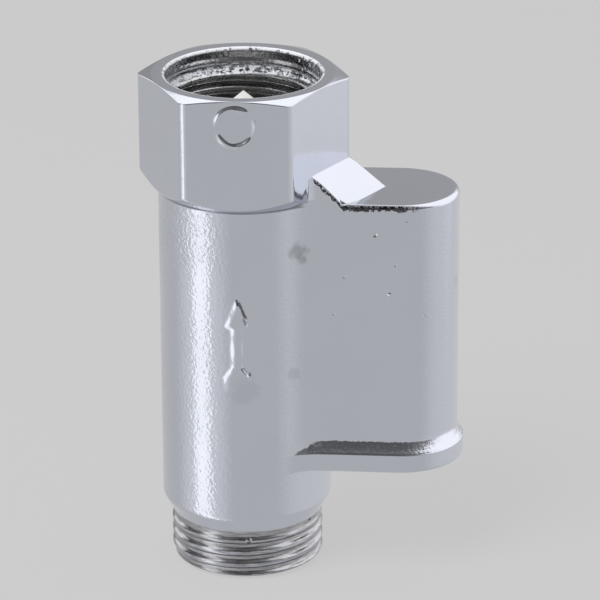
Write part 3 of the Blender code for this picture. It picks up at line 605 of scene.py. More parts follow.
def ramp_keys(lobe):
    """The end of the lobe's wall, its rounded upper edge, its top, the ramp's foot and the ramp.

    Outside the crossing the rows run from the lobe's outline to the hexagon's, each at the top's own
    height. Inside it they lie on the hexagon, where the cone under it ends.
    """
    crossing = np.array([crossing_point()])
    wall_gap = RAMP_TOP_Z - under_cone(crossing)[0]
    top = ramp_height(lobe)
    wall_fade = np.clip((CROSSING - HALF_INDEX) / WALL_FADE_COLUMNS, 0, 1)
    wall_share = 1 - WALL_FADE * wall_fade
    wall_end = np.where(OUTSIDE, top - wall_gap * wall_share, under_cone(lobe))
    edge_plan = np.where(OUTSIDE[:, None], lobe, HEX_PLAN)
    edge_z = np.where(OUTSIDE, top, RAMP_TOP_Z)
    edge_r = np.where(OUTSIDE, LOBE_EDGE_R, 0.0)

    def top_row(share):
        """The row a share of the way from the lobe's outline to the hexagon's."""
        share = np.where(OUTSIDE, share, 1)[:, None]
        plan = np.where(OUTSIDE[:, None], lobe + share * (HEX_PLAN - lobe), HEX_PLAN)
        return at(plan, np.where(OUTSIDE, ramp_height(plan), RAMP_TOP_Z))

    reach = np.maximum(np.linalg.norm(lobe - HEX_PLAN, axis=-1), 1e-6)
    inside = np.minimum(INSIDE_LIMIT, INSIDE_REACH / reach)
    foot = np.clip(ramp_foot(lobe, HEX_PLAN), inside + FOOT_GAP, FOOT_LIMIT)
    edge = at(edge_plan, edge_z)
    wall = at(edge_plan, np.where(OUTSIDE, wall_end, under_cone(HEX_PLAN)))
    slope = top_row(np.minimum(EDGE_LIMIT, EDGE_REACH / reach)) - edge
    rounding = rounded_corner(wall, edge, edge + 8 * slope, edge_r)
    before_foot = [top_row(inside + share * (foot - inside)) for share in BEFORE_FOOT]
    beyond_foot = [top_row(foot + share * (1 - foot)) for share in BEYOND_FOOT]
    return [
        (at(lobe, wall_end), 0.4, 1),
        (wall, 0.5, 2),
        *[(row, 0, 0) for row in rounding + before_foot],
        (top_row(foot), 0.2, 0),
        *[(row, 0, 0) for row in beyond_foot],
        (at(HEX_PLAN, RAMP_TOP_Z), 0.25, 2),
    ]


def casting_keys():
    """The corners of the casting's profile, up the outside and down through the bores.

    Each is its points, its rounding and the number of rows between it and the next one.
    """
    lobe = lobe_plan(0)
    lip = lobe_plan(LIP_PROJECTION)
    hex_top = BODY_HEIGHT - (np.linalg.norm(HEX_PLAN, axis=-1) - RIM_R) * HEX_TOP_SLOPE
    return [
        (at(MALE_END_R, 0.0), 0, 46),
        (at(TAPER_R, MALE_TOP_Z), 0.3, 2),
        (at(BARREL_R, TAPER_TOP_Z), 1.2, 3),
        (at(BARREL_R, LOBE_BOTTOM_Z), 0.35, 3),
        (at(lip, LOBE_BOTTOM_Z), 0.35, 1),
        (at(lip, LIP_TOP_Z), 0.18, 0),
        *cove_keys(lobe),
        (at(lobe, ARROW_ROWS_Z[0]), 0, 122),
        (at(lobe, ARROW_ROWS_Z[1]), 0, 5),
        *ramp_keys(lobe),
        (at(HEX_PLAN, RING_ROWS_Z), 0, 46),
        (at(HEX_PLAN, hex_top), 0.15, 1),
        (at(RIM_R, BODY_HEIGHT), 0.3, 0),
        (at(MOUTH_R, BODY_HEIGHT), MOUTH_EDGE_R, 14),
        (at(MOUTH_R, LEDGE_Z), 0.12, 5),
        (at(THREAD_MINOR_R, LEDGE_Z - LEDGE_DROP), 0.12, 40),
        (at(THREAD_MINOR_R, FEMALE_Z), 0, 1),
        (at(THREAD_MINOR_R, GROOVE_TOP_Z), 0.1, 0),
        (at(GROOVE_R, GROOVE_TOP_Z), 0, 0),
        (at(GROOVE_R, GROOVE_Z), 0, 0),
        (at(THREAD_MINOR_R, GROOVE_Z), 0.1, 0),
        (at(THREAD_MINOR_R, SOCKET_Z), 0.2, 0),
        (at(CHECK_BORE_R, SOCKET_Z), 0.2, 4),
        (at(CHECK_BORE_R, CHECK_SHOULDER_Z), 0.2, 0),
        (at(INLET_BORE_R, CHECK_SHOULDER_Z), 0.2, 6),
        (at(INLET_BORE_R, INLET_CHAMFER), 0, 0),
        (at(INLET_BORE_R + INLET_CHAMFER, 0.0), 0, 0),
    ]


SEGMENTS = 96
UPWARDS = (0.0, 0.0, 1.0)


def around(angle):
    """Level directions at angles round a vertical axis."""
    return np.stack([np.cos(angle), np.sin(angle), 0 * angle], axis=-1)


def turned(name, corners, centre_x, segments=SEGMENTS):
    """A closed body turned round a vertical axis, whose ends may lie on the axis.

    A corner is its radius, its height and its rounding. The radius may be an array round the axis.
    """
    outwards = around(np.linspace(0, 2 * np.pi, segments, endpoint=False))
    keys = []
    for radius, height, rounding in corners:
        radius = np.broadcast_to(radius, segments)[:, None]
        keys.append((radius * outwards + (centre_x, 0, height), rounding, 0))
    rows = rows_through(keys)
    closed = np.max(corners[0][0]) > 0
    return mesh_piece(name, rows.reshape(-1, 3), grid_faces(len(rows), segments, close_rows=closed))


def cut(obj, cutter, operation="DIFFERENCE"):
    """Apply an exact Boolean with another object, which is then removed."""
    modifier = obj.modifiers.new("cut", "BOOLEAN")
    modifier.operation = operation
    modifier.solver = "EXACT"
    modifier.object = cutter
    bake(obj)
    bpy.data.objects.remove(cutter, do_unlink=True)


def bake(obj):
    """Make an object's modifiers part of its mesh."""
    bpy.context.view_layer.update()
    evaluated = obj.evaluated_get(bpy.context.evaluated_depsgraph_get())
    mesh = bpy.data.meshes.new_from_object(evaluated)
    obj.modifiers.clear()
    obj.data = mesh


def make_casting():
    """Barrel, lobe, ramp, hexagon, threads and bores as one closed grid; the drilled holes are cut into
    it afterwards.

    Each column is a closed profile in its own direction from the main axis, and each row runs
    round the casting. Rows that meet are welded, which ends the lobe's lip in a point.
    """
    rows = rows_through(casting_keys())
    cut_threads(rows)
    raise_marks(rows)
    rows[..., 0] += MAIN_X
    return mesh_piece("cast_body", rows.reshape(-1, 3), grid_faces(len(rows), COLUMNS))


def washer(outer, inner, low, high, rounding):
    """The corners of a flat ring's profile."""
    return [
        (inner, high, rounding), (outer, high, rounding), (outer, low, rounding), (inner, low, rounding),
    ]


def section_of(corners):
    """A flat section with rounded corners, from the same corners as a turned body's."""
    keys = [(np.array([[across, up]], float), rounding, 0) for across, up, rounding in corners]
    return rows_through(keys)[:, 0]


WIRE_POINTS = 14
COIL_STEPS = 28
CLOSED_PITCH = 2.1
SHARP_ANGLE = 46


def circle(radius, count):
    """A round section of a wire or a drill."""
    angle = np.linspace(0, 2 * np.pi, count, endpoint=False)
    return radius * np.stack([np.cos(angle), np.sin(angle)], axis=-1)


def swept(name, path, side, rise, section):
    """A closed section carried along a path, and drawn in to a point at each end.

    A point of the section lies at path + x * side + y * rise.
    """
    rows = path[:, None] + section[None, :, :1] * side[:, None] + section[None, :, 1:] * rise[:, None]
    ends = np.repeat(path[[0, -1]][:, None], len(section), axis=1)
    rows = np.concatenate([ends[:1], rows, ends[1:]])
    return mesh_piece(name, rows.reshape(-1, 3), grid_faces(len(rows), len(section), close_rows=False))


def coil(name, centre_x, low, high, mean_r, wire_r, turns):
    """A compression spring: a helix whose first and last turn lie closed, CLOSED_PITCH radii high."""
    turn = np.linspace(0, turns, round(turns * COIL_STEPS) + 1)
    closed = CLOSED_PITCH * wire_r
    start = low + wire_r
    end = high - wire_r
    height = np.interp(turn, [0, 1, turns - 1, turns], [start, start + closed, end - closed, end])
    outwards = around(2 * np.pi * turn)
    path = mean_r * outwards + np.stack([np.full_like(turn, centre_x), 0 * turn, height], axis=-1)
    upwards = np.broadcast_to(UPWARDS, path.shape)
    return swept(name, path, outwards, upwards, circle(wire_r, WIRE_POINTS))


def bar(name, start, end, width, height, rounding):
    """A straight bar with a rounded rectangular section, level between two points."""
    path = np.linspace(start, end, 3)
    along = unit(path[-1] - path[0])
    side = np.broadcast_to(np.cross(UPWARDS, along), path.shape)
    upwards = np.broadcast_to(UPWARDS, path.shape)
    corners = washer(width / 2, -width / 2, -height / 2, height / 2, rounding)
    return swept(name, path, side, upwards, section_of(corners))


def hexagonal(apothem, segments=SEGMENTS):
    """Radii round a six-sided plan with corners along X: the apothem over the angle's cosine."""
    angle = np.linspace(0, 2 * np.pi, segments, endpoint=False)
    return apothem / np.cos(np.mod(angle, np.pi / 3) - np.pi / 6)


def slot_cutter(centre_x, height, reach, width, depth):
    """The cutter of a screwdriver slot: a square bar across a turned piece, about one height."""
    start = np.array([centre_x - reach, 0, height])
    end = np.array([centre_x + reach, 0, height])
    return bar("slot", start, end, width, depth, 0)


def keep_sharp(obj, angle=SHARP_ANGLE):
    """Shade an object smooth but for the edges that turn by more than an angle in degrees."""
    obj.data.set_sharp_from_angle(angle=math.radians(angle))


# Relief bore and the slanting port above its seat
RELIEF_BORE_R = 5.8
RELIEF_BORE = [
    (0, 48.0, 0), (2.2, 48.0, 0), (2.2, 40.5, 0), (3.0, 40.5, 0), (3.5, 41.5, 0),
    (RELIEF_BORE_R, 41.5, 0), (RELIEF_BORE_R, 16.4, 0), (6.3, 15.9, 0), (6.3, 14.9, 0), (0, 14.9, 0),
]
PORT_R = 1.6
PORT_POINTS = 40
PORT_TOP = np.array([MAIN_X + CHECK_BORE_R, 0, 56.0])
PORT_END = np.array([LOBE_X, 0, 44.75])


def port_drill():
    """The drill of the port: a round section along its slanting line, started in the main bore."""
    along = unit(PORT_TOP - PORT_END)
    path = np.stack([PORT_TOP + 2 * PORT_R * along, PORT_END])
    side = np.broadcast_to((0.0, 1.0, 0.0), path.shape)
    rise = np.broadcast_to(np.cross(along, (0, 1, 0)), path.shape)
    return swept("port_drill", path, side, rise, circle(PORT_R, PORT_POINTS))


CASTING_SHARP_ANGLE = 55

casting = make_casting()
cut(casting, turned("relief_drill", RELIEF_BORE, LOBE_X))
cut(casting, port_drill())
keep_sharp(casting, CASTING_SHARP_ANGLE)

# Non-return valve in the main bore
CHECK_SEAT = [
    (5.5, 41.3, 0.12), (6.2, 41.3, 0.12), (6.2, 40.8, 0.05), (8.0, 40.8, 0.15), (8.0, 39.4, 0.08),
    (6.6, 39.4, 0.08), (6.6, 37.7, 0.08), (8.0, 37.7, 0.08), (8.0, 36.3, 0.25), (5.5, 36.3, 0.25),
]
SEAT_ORING = [(7.45 + across, 38.55 + up, 0) for across, up in circle(0.7, 24)]
CHECK_POPPET = [
    (0, 59.1, 0), (1.6, 59.1, 0.3), (1.6, 45.0, 0.4), (6.7, 45.0, 0.25), (6.7, 43.4, 0.2),
    (1.5, 43.4, 0.1), (1.5, 40.0, 0.25), (0, 40.0, 0),
]
CHECK_SEAL = washer(6.7, 1.8, 41.6, 43.1, 0.15)
CHECK_SEAL_WASHER = washer(4.4, 1.8, 40.6, 41.3, 0.12)
CHECK_SPRING_FOOT = 45.3
CHECK_SPRING_TOP = 55.2
GUIDE_HUB = [
    (0, 67.8, 0), (3.2, 64.919, 0.35), (3.2, 55.5, 0.15), (1.9, 55.5, 0.15), (1.9, 63.719, 0.1),
    (0, 63.719, 0),
]
GUIDE_RING = washer(9.02, 7.62, 58.7, 60.7, 0.18)
SPOKE_ANGLES = (45, 135, 225, 315)
SPOKE_MIDDLE = np.array([MAIN_X, 0, 59.7])
SPOKE_ENDS = (2.55, 8.3)
SPOKE_WIDTH = 1.4
SPOKE_HEIGHT = 1.7
SPOKE_EDGE_R = 0.25


def make_guide():
    """The spider that guides the poppet: hub with the pointed nose, ring, and four spokes."""
    guide = turned("guide_spider", GUIDE_HUB, MAIN_X)
    cut(guide, turned("guide_ring", GUIDE_RING, MAIN_X), "UNION")
    for index, degrees in enumerate(SPOKE_ANGLES):
        outwards = around(np.radians(degrees))
        start, end = [SPOKE_MIDDLE + reach * outwards for reach in SPOKE_ENDS]
        spoke = bar(f"spoke_{index}", start, end, SPOKE_WIDTH, SPOKE_HEIGHT, SPOKE_EDGE_R)
        cut(guide, spoke, "UNION")
    keep_sharp(guide)
    return guide


SNAP_R = 9.33
SNAP_Z = 61.35
SNAP_GAP = 4.0
SNAP_STEPS = 90
SNAP_SECTION = washer(0.65, -0.65, -0.35, 0.35, 0.1)


def make_snap_ring():
    """The retaining ring: a flat section carried round from one side of its opening to the other."""
    half = math.asin(SNAP_GAP / 2 / SNAP_R)
    outwards = around(np.linspace(np.pi / 2 + half, np.pi / 2 + 2 * np.pi - half, SNAP_STEPS))
    path = SNAP_R * outwards + (MAIN_X, 0, SNAP_Z)
    upwards = np.broadcast_to(UPWARDS, path.shape)
    return swept("snap_ring", path, outwards, upwards, section_of(SNAP_SECTION))


# Relief valve in the lobe
KEY_RADII = hexagonal(3.0)
DISC_RADII = hexagonal(5.5 * math.cos(FLAT_ANGLE))
RELIEF_DISC = [
    (0, 36.0, 0), (1.1, 36.0, 0.05), (1.1, 38.3, 0.1), (4.2, 38.3, 0.1), (4.2, 39.7, 0.1),
    (DISC_RADII, 39.7, 0.15), (DISC_RADII, 35.5, 0.15), (2.7, 35.5, 0.1), (2.7, 33.5, 0.25),
    (0, 33.5, 0),
]
RELIEF_SEAL = washer(3.9, 1.1, 38.6, 40.2, 0.15)
SEAL_SCREW = [
    (0, 41.3, 0), (1.5, 41.3, 0.25), (1.5, 40.5, 0.05), (0.8, 40.5, 0.05), (0.8, 36.3, 0.2),
    (0, 36.3, 0),
]
SCREW_SEGMENTS = 48
RELIEF_SPRING_TOP = 35.2
RELIEF_SPRING_FOOT = 24.9
SPRING_PLATE = [
    (1.9, 25.4, 0.15), (2.7, 25.4, 0.15), (2.7, 24.6, 0.1), (5.5, 24.6, 0.15), (5.5, 23.7, 0.15),
    (1.9, 23.7, 0.15),
]
ADJUSTER = [
    (KEY_RADII, 23.4, 0.12), (5.5, 23.4, 0.25), (5.5, 17.9, 0.25), (KEY_RADII, 17.9, 0.2),
]
LOCK_RING = washer(5.5, 3.9, 16.4, 17.6, 0.12)


def make_lock_ring():
    """The lock ring, with a screwdriver slot across its lower face."""
    ring = turned("lock_ring", LOCK_RING, LOBE_X)
    cut(ring, slot_cutter(LOBE_X, 16.4, reach=6.5, width=1.2, depth=1.2))
    keep_sharp(ring)
    return ring


def make_seal_screw():
    """The cheese-head screw that holds the rubber disc, with its slot."""
    screw = turned("seal_screw", SEAL_SCREW, LOBE_X, SCREW_SEGMENTS)
    cut(screw, slot_cutter(LOBE_X, 41.3, reach=2, width=0.4, depth=0.7))
    keep_sharp(screw)
    return screw


# Finishes


class Value:
    """A socket of a node tree; arithmetic on it adds Math nodes."""

    def __init__(self, nodes, socket):
        self.nodes = nodes
        self.socket = socket

    def math(self, operation, first, second=0.0):
        """The result of a Math node on two values or numbers."""
        return self.nodes.node("ShaderNodeMath", {"operation": operation}, [first, second])

    def __add__(self, other):
        return self.math("ADD", self, other)

    def __sub__(self, other):
        return self.math("SUBTRACT", self, other)

    def __rsub__(self, other):
        return self.math("SUBTRACT", other, self)

    def __mul__(self, other):
        return self.math("MULTIPLY", self, other)

    def __truediv__(self, other):
        return self.math("DIVIDE", self, other)

    __radd__ = __add__
    __rmul__ = __mul__


class Nodes:
    """The node tree of a material or of the world."""

    def __init__(self, owner):
        owner.use_nodes = True
        self.tree = owner.node_tree
        self.tree.nodes.clear()

    def node(self, kind, settings=None, inputs=(), output=0):
        """Add a node: its settings first, then the value or the link of each socket."""
        node = self.tree.nodes.new(kind)
        for name, value in (settings or {}).items():
            setattr(node, name, value)
        for key, value in inputs.items() if isinstance(inputs, dict) else enumerate(inputs):
            if isinstance(value, Value):
                self.tree.links.new(value.socket, node.inputs[key])
            else:
                node.inputs[key].default_value = value
        return Value(self, node.outputs[output]) if node.outputs else node

    def split(self, vector):
        """The X, Y and Z of a vector."""
        node = self.tree.nodes.new("ShaderNodeSeparateXYZ")
        self.tree.links.new(vector.socket, node.inputs[0])
        return [Value(self, socket) for socket in node.outputs]

    def ramp(self, value, start, end, low=0.0, high=1.0):
        """A smooth step of a value, from low at start to high at end."""
        return self.node(
            "ShaderNodeMapRange", {"interpolation_type": "SMOOTHSTEP"},
            {"Value": value, "From Min": start, "From Max": end, "To Min": low, "To Max": high},
        )

    def blend(self, share, first, second):
        """A number between two others."""
        return self.node("ShaderNodeMix", {"data_type": "FLOAT"}, {0: share, 2: first, 3: second})

    def tint(self, share, first, second):
        """A colour between two others."""
        return self.node(
            "ShaderNodeMix", {"data_type": "RGBA"}, {0: share, 6: first, 7: second}, output=2
        )

    def size(self, value):
        """A value without its sign."""
        return self.node("ShaderNodeMath", {"operation": "ABSOLUTE"}, [value])

    def greater(self, first, second):
        """The greater of two values."""
        return self.node("ShaderNodeMath", {"operation": "MAXIMUM"}, [first, second])

    def band(self, value, rise, fall):
        """A mask that rises over one pair of limits, and over another, from outside, falls again."""
        return self.ramp(value, *rise) * self.ramp(value, *fall)

    def noise(self, place, scale, detail=2.0, roughness=0.5):
        """A noise between 0 and 1, with its scale per metre."""
        return self.node(
            "ShaderNodeTexNoise", None,
            {"Vector": place, "Scale": scale, "Detail": detail, "Roughness": roughness},
        )


def finish(name, build):
    """A new material, whose nodes a function builds up to its shader."""
    material = bpy.data.materials.new(name)
    nodes = Nodes(material)
    place = nodes.node("ShaderNodeTexCoord", output="Object")
    nodes.node("ShaderNodeOutputMaterial", None, [build(nodes, place)])
    return material


def shader(nodes, colour, roughness, metallic, height=None):
    """A Principled shader; a height in millimetres becomes its bump."""
    inputs = {"Base Color": colour, "Roughness": roughness, "Metallic": metallic}
    if height is not None:
        inputs["Normal"] = nodes.node(
            "ShaderNodeBump", None, {"Strength": 1.0, "Distance": MM, "Height": height}
        )
    return nodes.node("ShaderNodeBsdfPrincipled", None, inputs)


# Spots on the casting: place from the main axis, radius, height, how much duller, how much darker
SPOTS = [
    ((7.9, -8.9, 48.2), 1.7, -0.02, 0.9, 0.0),
    ((8.3, -8.4, 46.9), 1.0, -0.01, 0.7, 0.0),
    ((1.50, -11.8, 31.4), 0.42, -0.08, 0.0, 0.6),
    ((0.9, -11.7, 28.8), 2.6, -0.01, 0.25, 0.0),
    ((7.2, -9.2, 30.4), 1.3, -0.01, 0.35, 0.0),
    ((29.6, -2.5, 41.8), 1.4, -0.01, 0.6, 0.0),
    ((1.1, -10.4, 6.0), 0.40, 0.16, 0.0, 0.0),
    ((9.7, -7.4, 49.2), 0.30, 0.06, 0.0, 0.0),
    ((18.2, -7.66, 50.3), 0.40, -0.09, 0.4, 0.0),
    ((22.4, -7.66, 52.0), 0.42, 0.05, 0.0, 0.0),
    ((20.2, -7.66, 41.8), 0.32, 0.08, 0.0, 0.0),
    ((20.9, -7.66, 46.0), 0.22, -0.04, 0.3, 0.0),
    ((11.4, -8.1, 52.6), 0.22, -0.04, 0.3, 0.0),
    ((14.0, -7.66, 44.2), 0.25, -0.03, 0.2, 0.0),
    ((12.6, -7.66, 38.8), 0.20, -0.04, 0.3, 0.0),
    ((24.9, -6.9, 38.6), 0.22, -0.05, 0.4, 0.0),
    ((9.0, -4.9, 6.9), 0.45, -0.15, 0.0, 1.0),
]
SPOT_RAGGED = 1.2

# Colours and measures of the chrome, its flaws, and its painted shade and highlight
CHROME_PALE = (0.615, 0.630, 0.700, 1)
CHROME_GREY = (0.600, 0.622, 0.680, 1)
DULL_PATCH = (0.42, 0.44, 0.47, 1)
# Darker chrome of the bores, partly their thinner plating and partly painted shade; it also darkens the
# male thread
DARKENED_CHROME = (0.40, 0.40, 0.42, 1)
# Painted shade, darker still below the ledge of the female thread
DEEP_PAINTED_SHADE = (0.36, 0.36, 0.37, 1)
# Painted shade in the grooves of the male thread
GROOVE_PAINTED_SHADE = (0.44, 0.44, 0.46, 1)
GROOVE_DIRT = (0.22, 0.22, 0.23, 1)
# Painted shade in the crease under the hexagon
CREASE_PAINTED_SHADE = (0.20, 0.20, 0.21, 1)
# Dark colour of the spots' own pits, and of the painted shade under the ramp's edge and along the
# arrow's head
DARK_FLECKS_AND_SHADE = (0.07, 0.07, 0.075, 1)
# Pale colour of the painted highlight specks in the mouth
PAINTED_HIGHLIGHT = (0.88, 0.90, 0.94, 1)
EDGE_BAND_DEPTH = 0.12
EDGE_JAGGED = 1.3
# Where the line of painted shade along the arrow's head lies
BARB_X = MAIN_X + ARROW_X + 0.22
BARB_TOP_Z = 41.8
BARB_SLOPE = 0.40
BARB_JAGGED = 0.5


class CastingPlace:
    """Where a point of the casting lies, in millimetres, and the noises that several marks share."""

    def __init__(self, nodes, place):
        self.place = place
        self.across, self.along, self.up = [value * (1 / MM) for value in nodes.split(place)]
        flat = nodes.node("ShaderNodeCombineXYZ", None, [self.across - MAIN_X, self.along, 0.0])
        self.radius = nodes.node(
            "ShaderNodeVectorMath", {"operation": "LENGTH"}, [flat], output="Value"
        )
        self.patches = nodes.noise(place, 110.0, 2.0)
        self.flecks = nodes.noise(place, 1500.0, 3.0, 0.65)
        self.pits = nodes.noise(place, 1900.0, 2.0)


def cast_skin(nodes, at_point):
    """Height of the orange peel and the slow waves, strongest on the barrel's upper left."""
    up = at_point.up
    cast = nodes.ramp(up, 7.0, 8.2) * nodes.ramp(at_point.radius, 11.0, 11.5)
    cast = cast * nodes.ramp(up, 54.4, 53.8, 0.2, 1.0)
    left = nodes.ramp(at_point.across, MAIN_X - 1.0, MAIN_X - 4.0)
    cast = cast * (0.4 + left * nodes.ramp(up, 44.0, 48.0, 0.55, 1.2))
    peel = nodes.noise(at_point.place, 2300.0, 1.0)
    grain = nodes.noise(at_point.place, 5200.0, 1.0)
    waves = nodes.noise(at_point.place, 260.0, 2.0)
    return cast * (peel * 0.06 + grain * 0.008) * (0.3 + at_point.patches * 1.4) + waves * 0.02


def spots(nodes, at_point):
    """Pits, grains and dull patches: their height, how dull and how dark they are.

    Each is a mask of the distance to its centre, which a noise makes ragged.
    """
    height = dull = dark = 0.0
    ragged = (nodes.noise(at_point.place, 900.0, 2.0) - 0.5) * SPOT_RAGGED
    for (x, y, z), size, rise, dullness, darkness in SPOTS:
        centre = ((x + MAIN_X) * MM, y * MM, z * MM)
        distance = nodes.node(
            "ShaderNodeVectorMath", {"operation": "DISTANCE"}, [at_point.place, centre], output="Value"
        )
        mask = nodes.ramp(distance * (1 / MM) + ragged * size, size, 0.35 * size)
        height = mask * rise + height
        dull = mask * dullness + dull
        dark = mask * darkness + dark
    return height, dull, dark


def edge_shade_band(nodes, at_point):
    """The jagged band of painted shade under the front edge of the ramp and of the lobe's top.

    A band of the depth below the top's own height, which a noise makes jagged.
    """
    across, along, up = at_point.across, at_point.along, at_point.up
    excess = (across - MAIN_X) * math.cos(FLAT_ANGLE) + nodes.size(along) * math.sin(FLAT_ANGLE)
    excess = excess - HEX_APOTHEM
    plane = nodes.greater(RAMP_TOP_Z - excess * (1 + RAMP_SHOULDER), LOBE_TOP_Z)
    below = plane - up
    edge = nodes.band(below + (at_point.pits - 0.5) * EDGE_JAGGED, (0.12, 0.22), (0.85, 0.70))
    edge = edge * nodes.ramp(nodes.size(along), 7.1, 7.35) * nodes.ramp(below, 0.02, 0.10)
    edge = edge * nodes.ramp(excess, 0.05, 0.25) * nodes.ramp(along, 0.0, -1.0)
    return edge * nodes.ramp(across, 14.0, 17.0, 1.0, 0.0)


def arrow_head_shade(nodes, at_point):
    """The crooked line of painted shade down the left of the arrow's head: a mask of the distance to a
    line.
    """
    line = at_point.across - BARB_X - (BARB_TOP_Z - at_point.up) * BARB_SLOPE
    line = nodes.ramp(nodes.size(line + (at_point.pits - 0.5) * BARB_JAGGED), 0.26, 0.14)
    line = line * nodes.ramp(at_point.along, -10.0, -11.0)
    return line * nodes.band(at_point.up, (39.2, 39.7), (41.9, 41.7))


def bore_highlight_specks(nodes, at_point, bore, rim):
    """Painted highlight: pale, nearly matt specks on the ledge, the rim and the far wall of the mouth.
    """
    up, flecks = at_point.up, at_point.flecks
    ledge = bore * nodes.ramp(nodes.size(up - 67.4), 0.55, 0.35)
    wall = bore * nodes.ramp(up, 67.9, 68.3) * nodes.ramp(at_point.across, -3.0, 0.0)
    highlight_specks = nodes.greater(ledge * nodes.ramp(flecks, 0.44, 0.54), rim * nodes.ramp(flecks, 0.38, 0.50))
    return nodes.greater(highlight_specks, wall * nodes.ramp(flecks, 0.57, 0.62))


def chrome_plate(nodes, place):
    """Bright chrome over a cast surface: fine orange peel, slow waves, a few small flaws, painted shade
    in the bores, the thread's grooves, the crease under the hexagon, under the ramp's edge and along the
    arrow's head, and painted highlight specks in the mouth.
    """
    at_point = CastingPlace(nodes, place)
    up, radius, flecks, pits = at_point.up, at_point.radius, at_point.flecks, at_point.pits
    bore = nodes.ramp(radius, 10.75, 10.6) * nodes.ramp(up, 8.0, 9.0)
    # Painted shade that darkens the bores below the ledge
    deep_shade = bore * nodes.ramp(up, 67.5, 66.8)
    rim = nodes.ramp(radius, 11.0, 10.9) * nodes.ramp(up, 69.9, 70.1)
    cove = nodes.ramp(radius, 12.4, 12.9) * nodes.band(up, (18.5, 18.7), (20.3, 19.5))
    # Painted shade in a thin ring where the barrel meets the cone under the hexagon
    crease_shade = nodes.ramp(nodes.size(up - HEX_BOTTOM_Z), 0.24, 0.08) * nodes.ramp(radius, 12.3, 11.9)
    threads = nodes.ramp(up, 7.6, 7.0)
    # Painted shade in the male thread's grooves, where their radius is smallest
    groove = threads * nodes.ramp(radius, 10.46, 10.36)
    turning = nodes.node("ShaderNodeMapping", None, {"Vector": place, "Scale": (1.0, 1.0, 9.0)})
    marks = nodes.noise(turning, 520.0, 3.0)
    # The band of painted shade under the front edge of the ramp and of the lobe's top
    edge = edge_shade_band(nodes, at_point)
    spot_height, dull, dark = spots(nodes, at_point)
    # Dark flecks: painted shade under the ramp's edge and along the arrow's head, and the spots' own
    # dark pits
    scale = nodes.greater(edge * nodes.ramp(pits, 0.26, 0.40), dark)
    # Painted shade along the arrow's head
    scale = nodes.greater(scale, arrow_head_shade(nodes, at_point) * 0.85)
    # Painted highlight specks in the mouth, which are also made nearly matt
    highlight_specks = bore_highlight_specks(nodes, at_point, bore, rim)

    height = cast_skin(nodes, at_point) + spot_height
    # The band of painted shade is also pressed in a little by the bump
    height = height - edge * nodes.ramp(pits, 0.40, 0.55) * EDGE_BAND_DEPTH
    height = height + (bore + rim + cove) * flecks * 0.10
    height = height + threads * (marks * 0.03 + flecks * 0.02)

    colour = nodes.tint(nodes.ramp(at_point.patches, 0.42, 0.62), CHROME_PALE, CHROME_GREY)
    layers = [
        (dull, DULL_PATCH),
        # The bores: partly thinner plating, partly painted shade
        (bore, DARKENED_CHROME),
        # Painted shade deeper in the bores
        (deep_shade, DEEP_PAINTED_SHADE),
        # The male thread made darker
        (threads * 0.5, DARKENED_CHROME),
        # Painted shade in the thread's grooves
        (groove, GROOVE_PAINTED_SHADE),
        (threads * nodes.ramp(marks, 0.42, 0.58) * 0.6, GROOVE_DIRT),
        # Painted shade in the crease under the hexagon
        (crease_shade * 0.75, CREASE_PAINTED_SHADE),
        # Painted shade and the spots' dark pits
        (scale, DARK_FLECKS_AND_SHADE),
        # Painted highlight specks
        (highlight_specks, PAINTED_HIGHLIGHT),
    ]
    for share, layer in layers:
        colour = nodes.tint(share, colour, layer)
    roughness = nodes.blend(dull, 0.06 + at_point.patches * 0.05, 0.4)
    roughness = nodes.blend(threads, roughness, 0.16)
    return shader(nodes, colour, roughness, 1.0 - highlight_specks * 0.9, height)


def white_acetal(nodes, place):
    """Moulded plastic: faint mottling and a soft bump."""
    mottle = nodes.noise(place, 900.0, 3.0)
    colour = nodes.tint(mottle, (0.80, 0.80, 0.77, 1), (0.87, 0.87, 0.84, 1))
    return shader(nodes, colour, 0.36 + mottle * 0.14, 0.0, mottle * 0.008)


def black_rubber(nodes, place):
    """Matt rubber with a fine grain and a paler bloom."""
    grain = nodes.noise(place, 2500.0, 3.0)
    bloom = nodes.noise(place, 300.0, 2.0)
    colour = nodes.tint(bloom, (0.022, 0.022, 0.024, 1), (0.05, 0.05, 0.05, 1))
    return shader(nodes, colour, 0.58 + grain * 0.2, 0.0, grain * 0.01)


def spring_steel(nodes, place):
    """Drawn stainless steel: long fine streaks and slight colour drift."""
    drift = nodes.noise(place, 400.0, 2.0)
    streaks = nodes.noise(place, 5000.0, 2.0)
    colour = nodes.tint(drift, (0.46, 0.46, 0.45, 1), (0.58, 0.58, 0.57, 1))
    return shader(nodes, colour, 0.2 + streaks * 0.16, 1.0, streaks * 0.003)


def turned_brass(nodes, place):
    """Bare turned brass: close tool rings up its length and a darker tarnish in patches."""
    _, _, up = nodes.split(place)
    rings = nodes.node("ShaderNodeMath", {"operation": "SINE"}, [up * 62000.0])
    tarnish = nodes.noise(place, 500.0, 3.0)
    colour = nodes.tint(
        nodes.ramp(tarnish, 0.4, 0.7), (0.76, 0.57, 0.29, 1), (0.56, 0.40, 0.19, 1)
    )
    return shader(nodes, colour, 0.22 + tarnish * 0.2, 1.0, rings * 0.002 + tarnish * 0.004)


CHROME = finish("chrome_plate", chrome_plate)
ACETAL = finish("white_acetal", white_acetal)
RUBBER = finish("black_rubber", black_rubber)
STEEL = finish("spring_steel", spring_steel)
BRASS = finish("turned_brass", turned_brass)

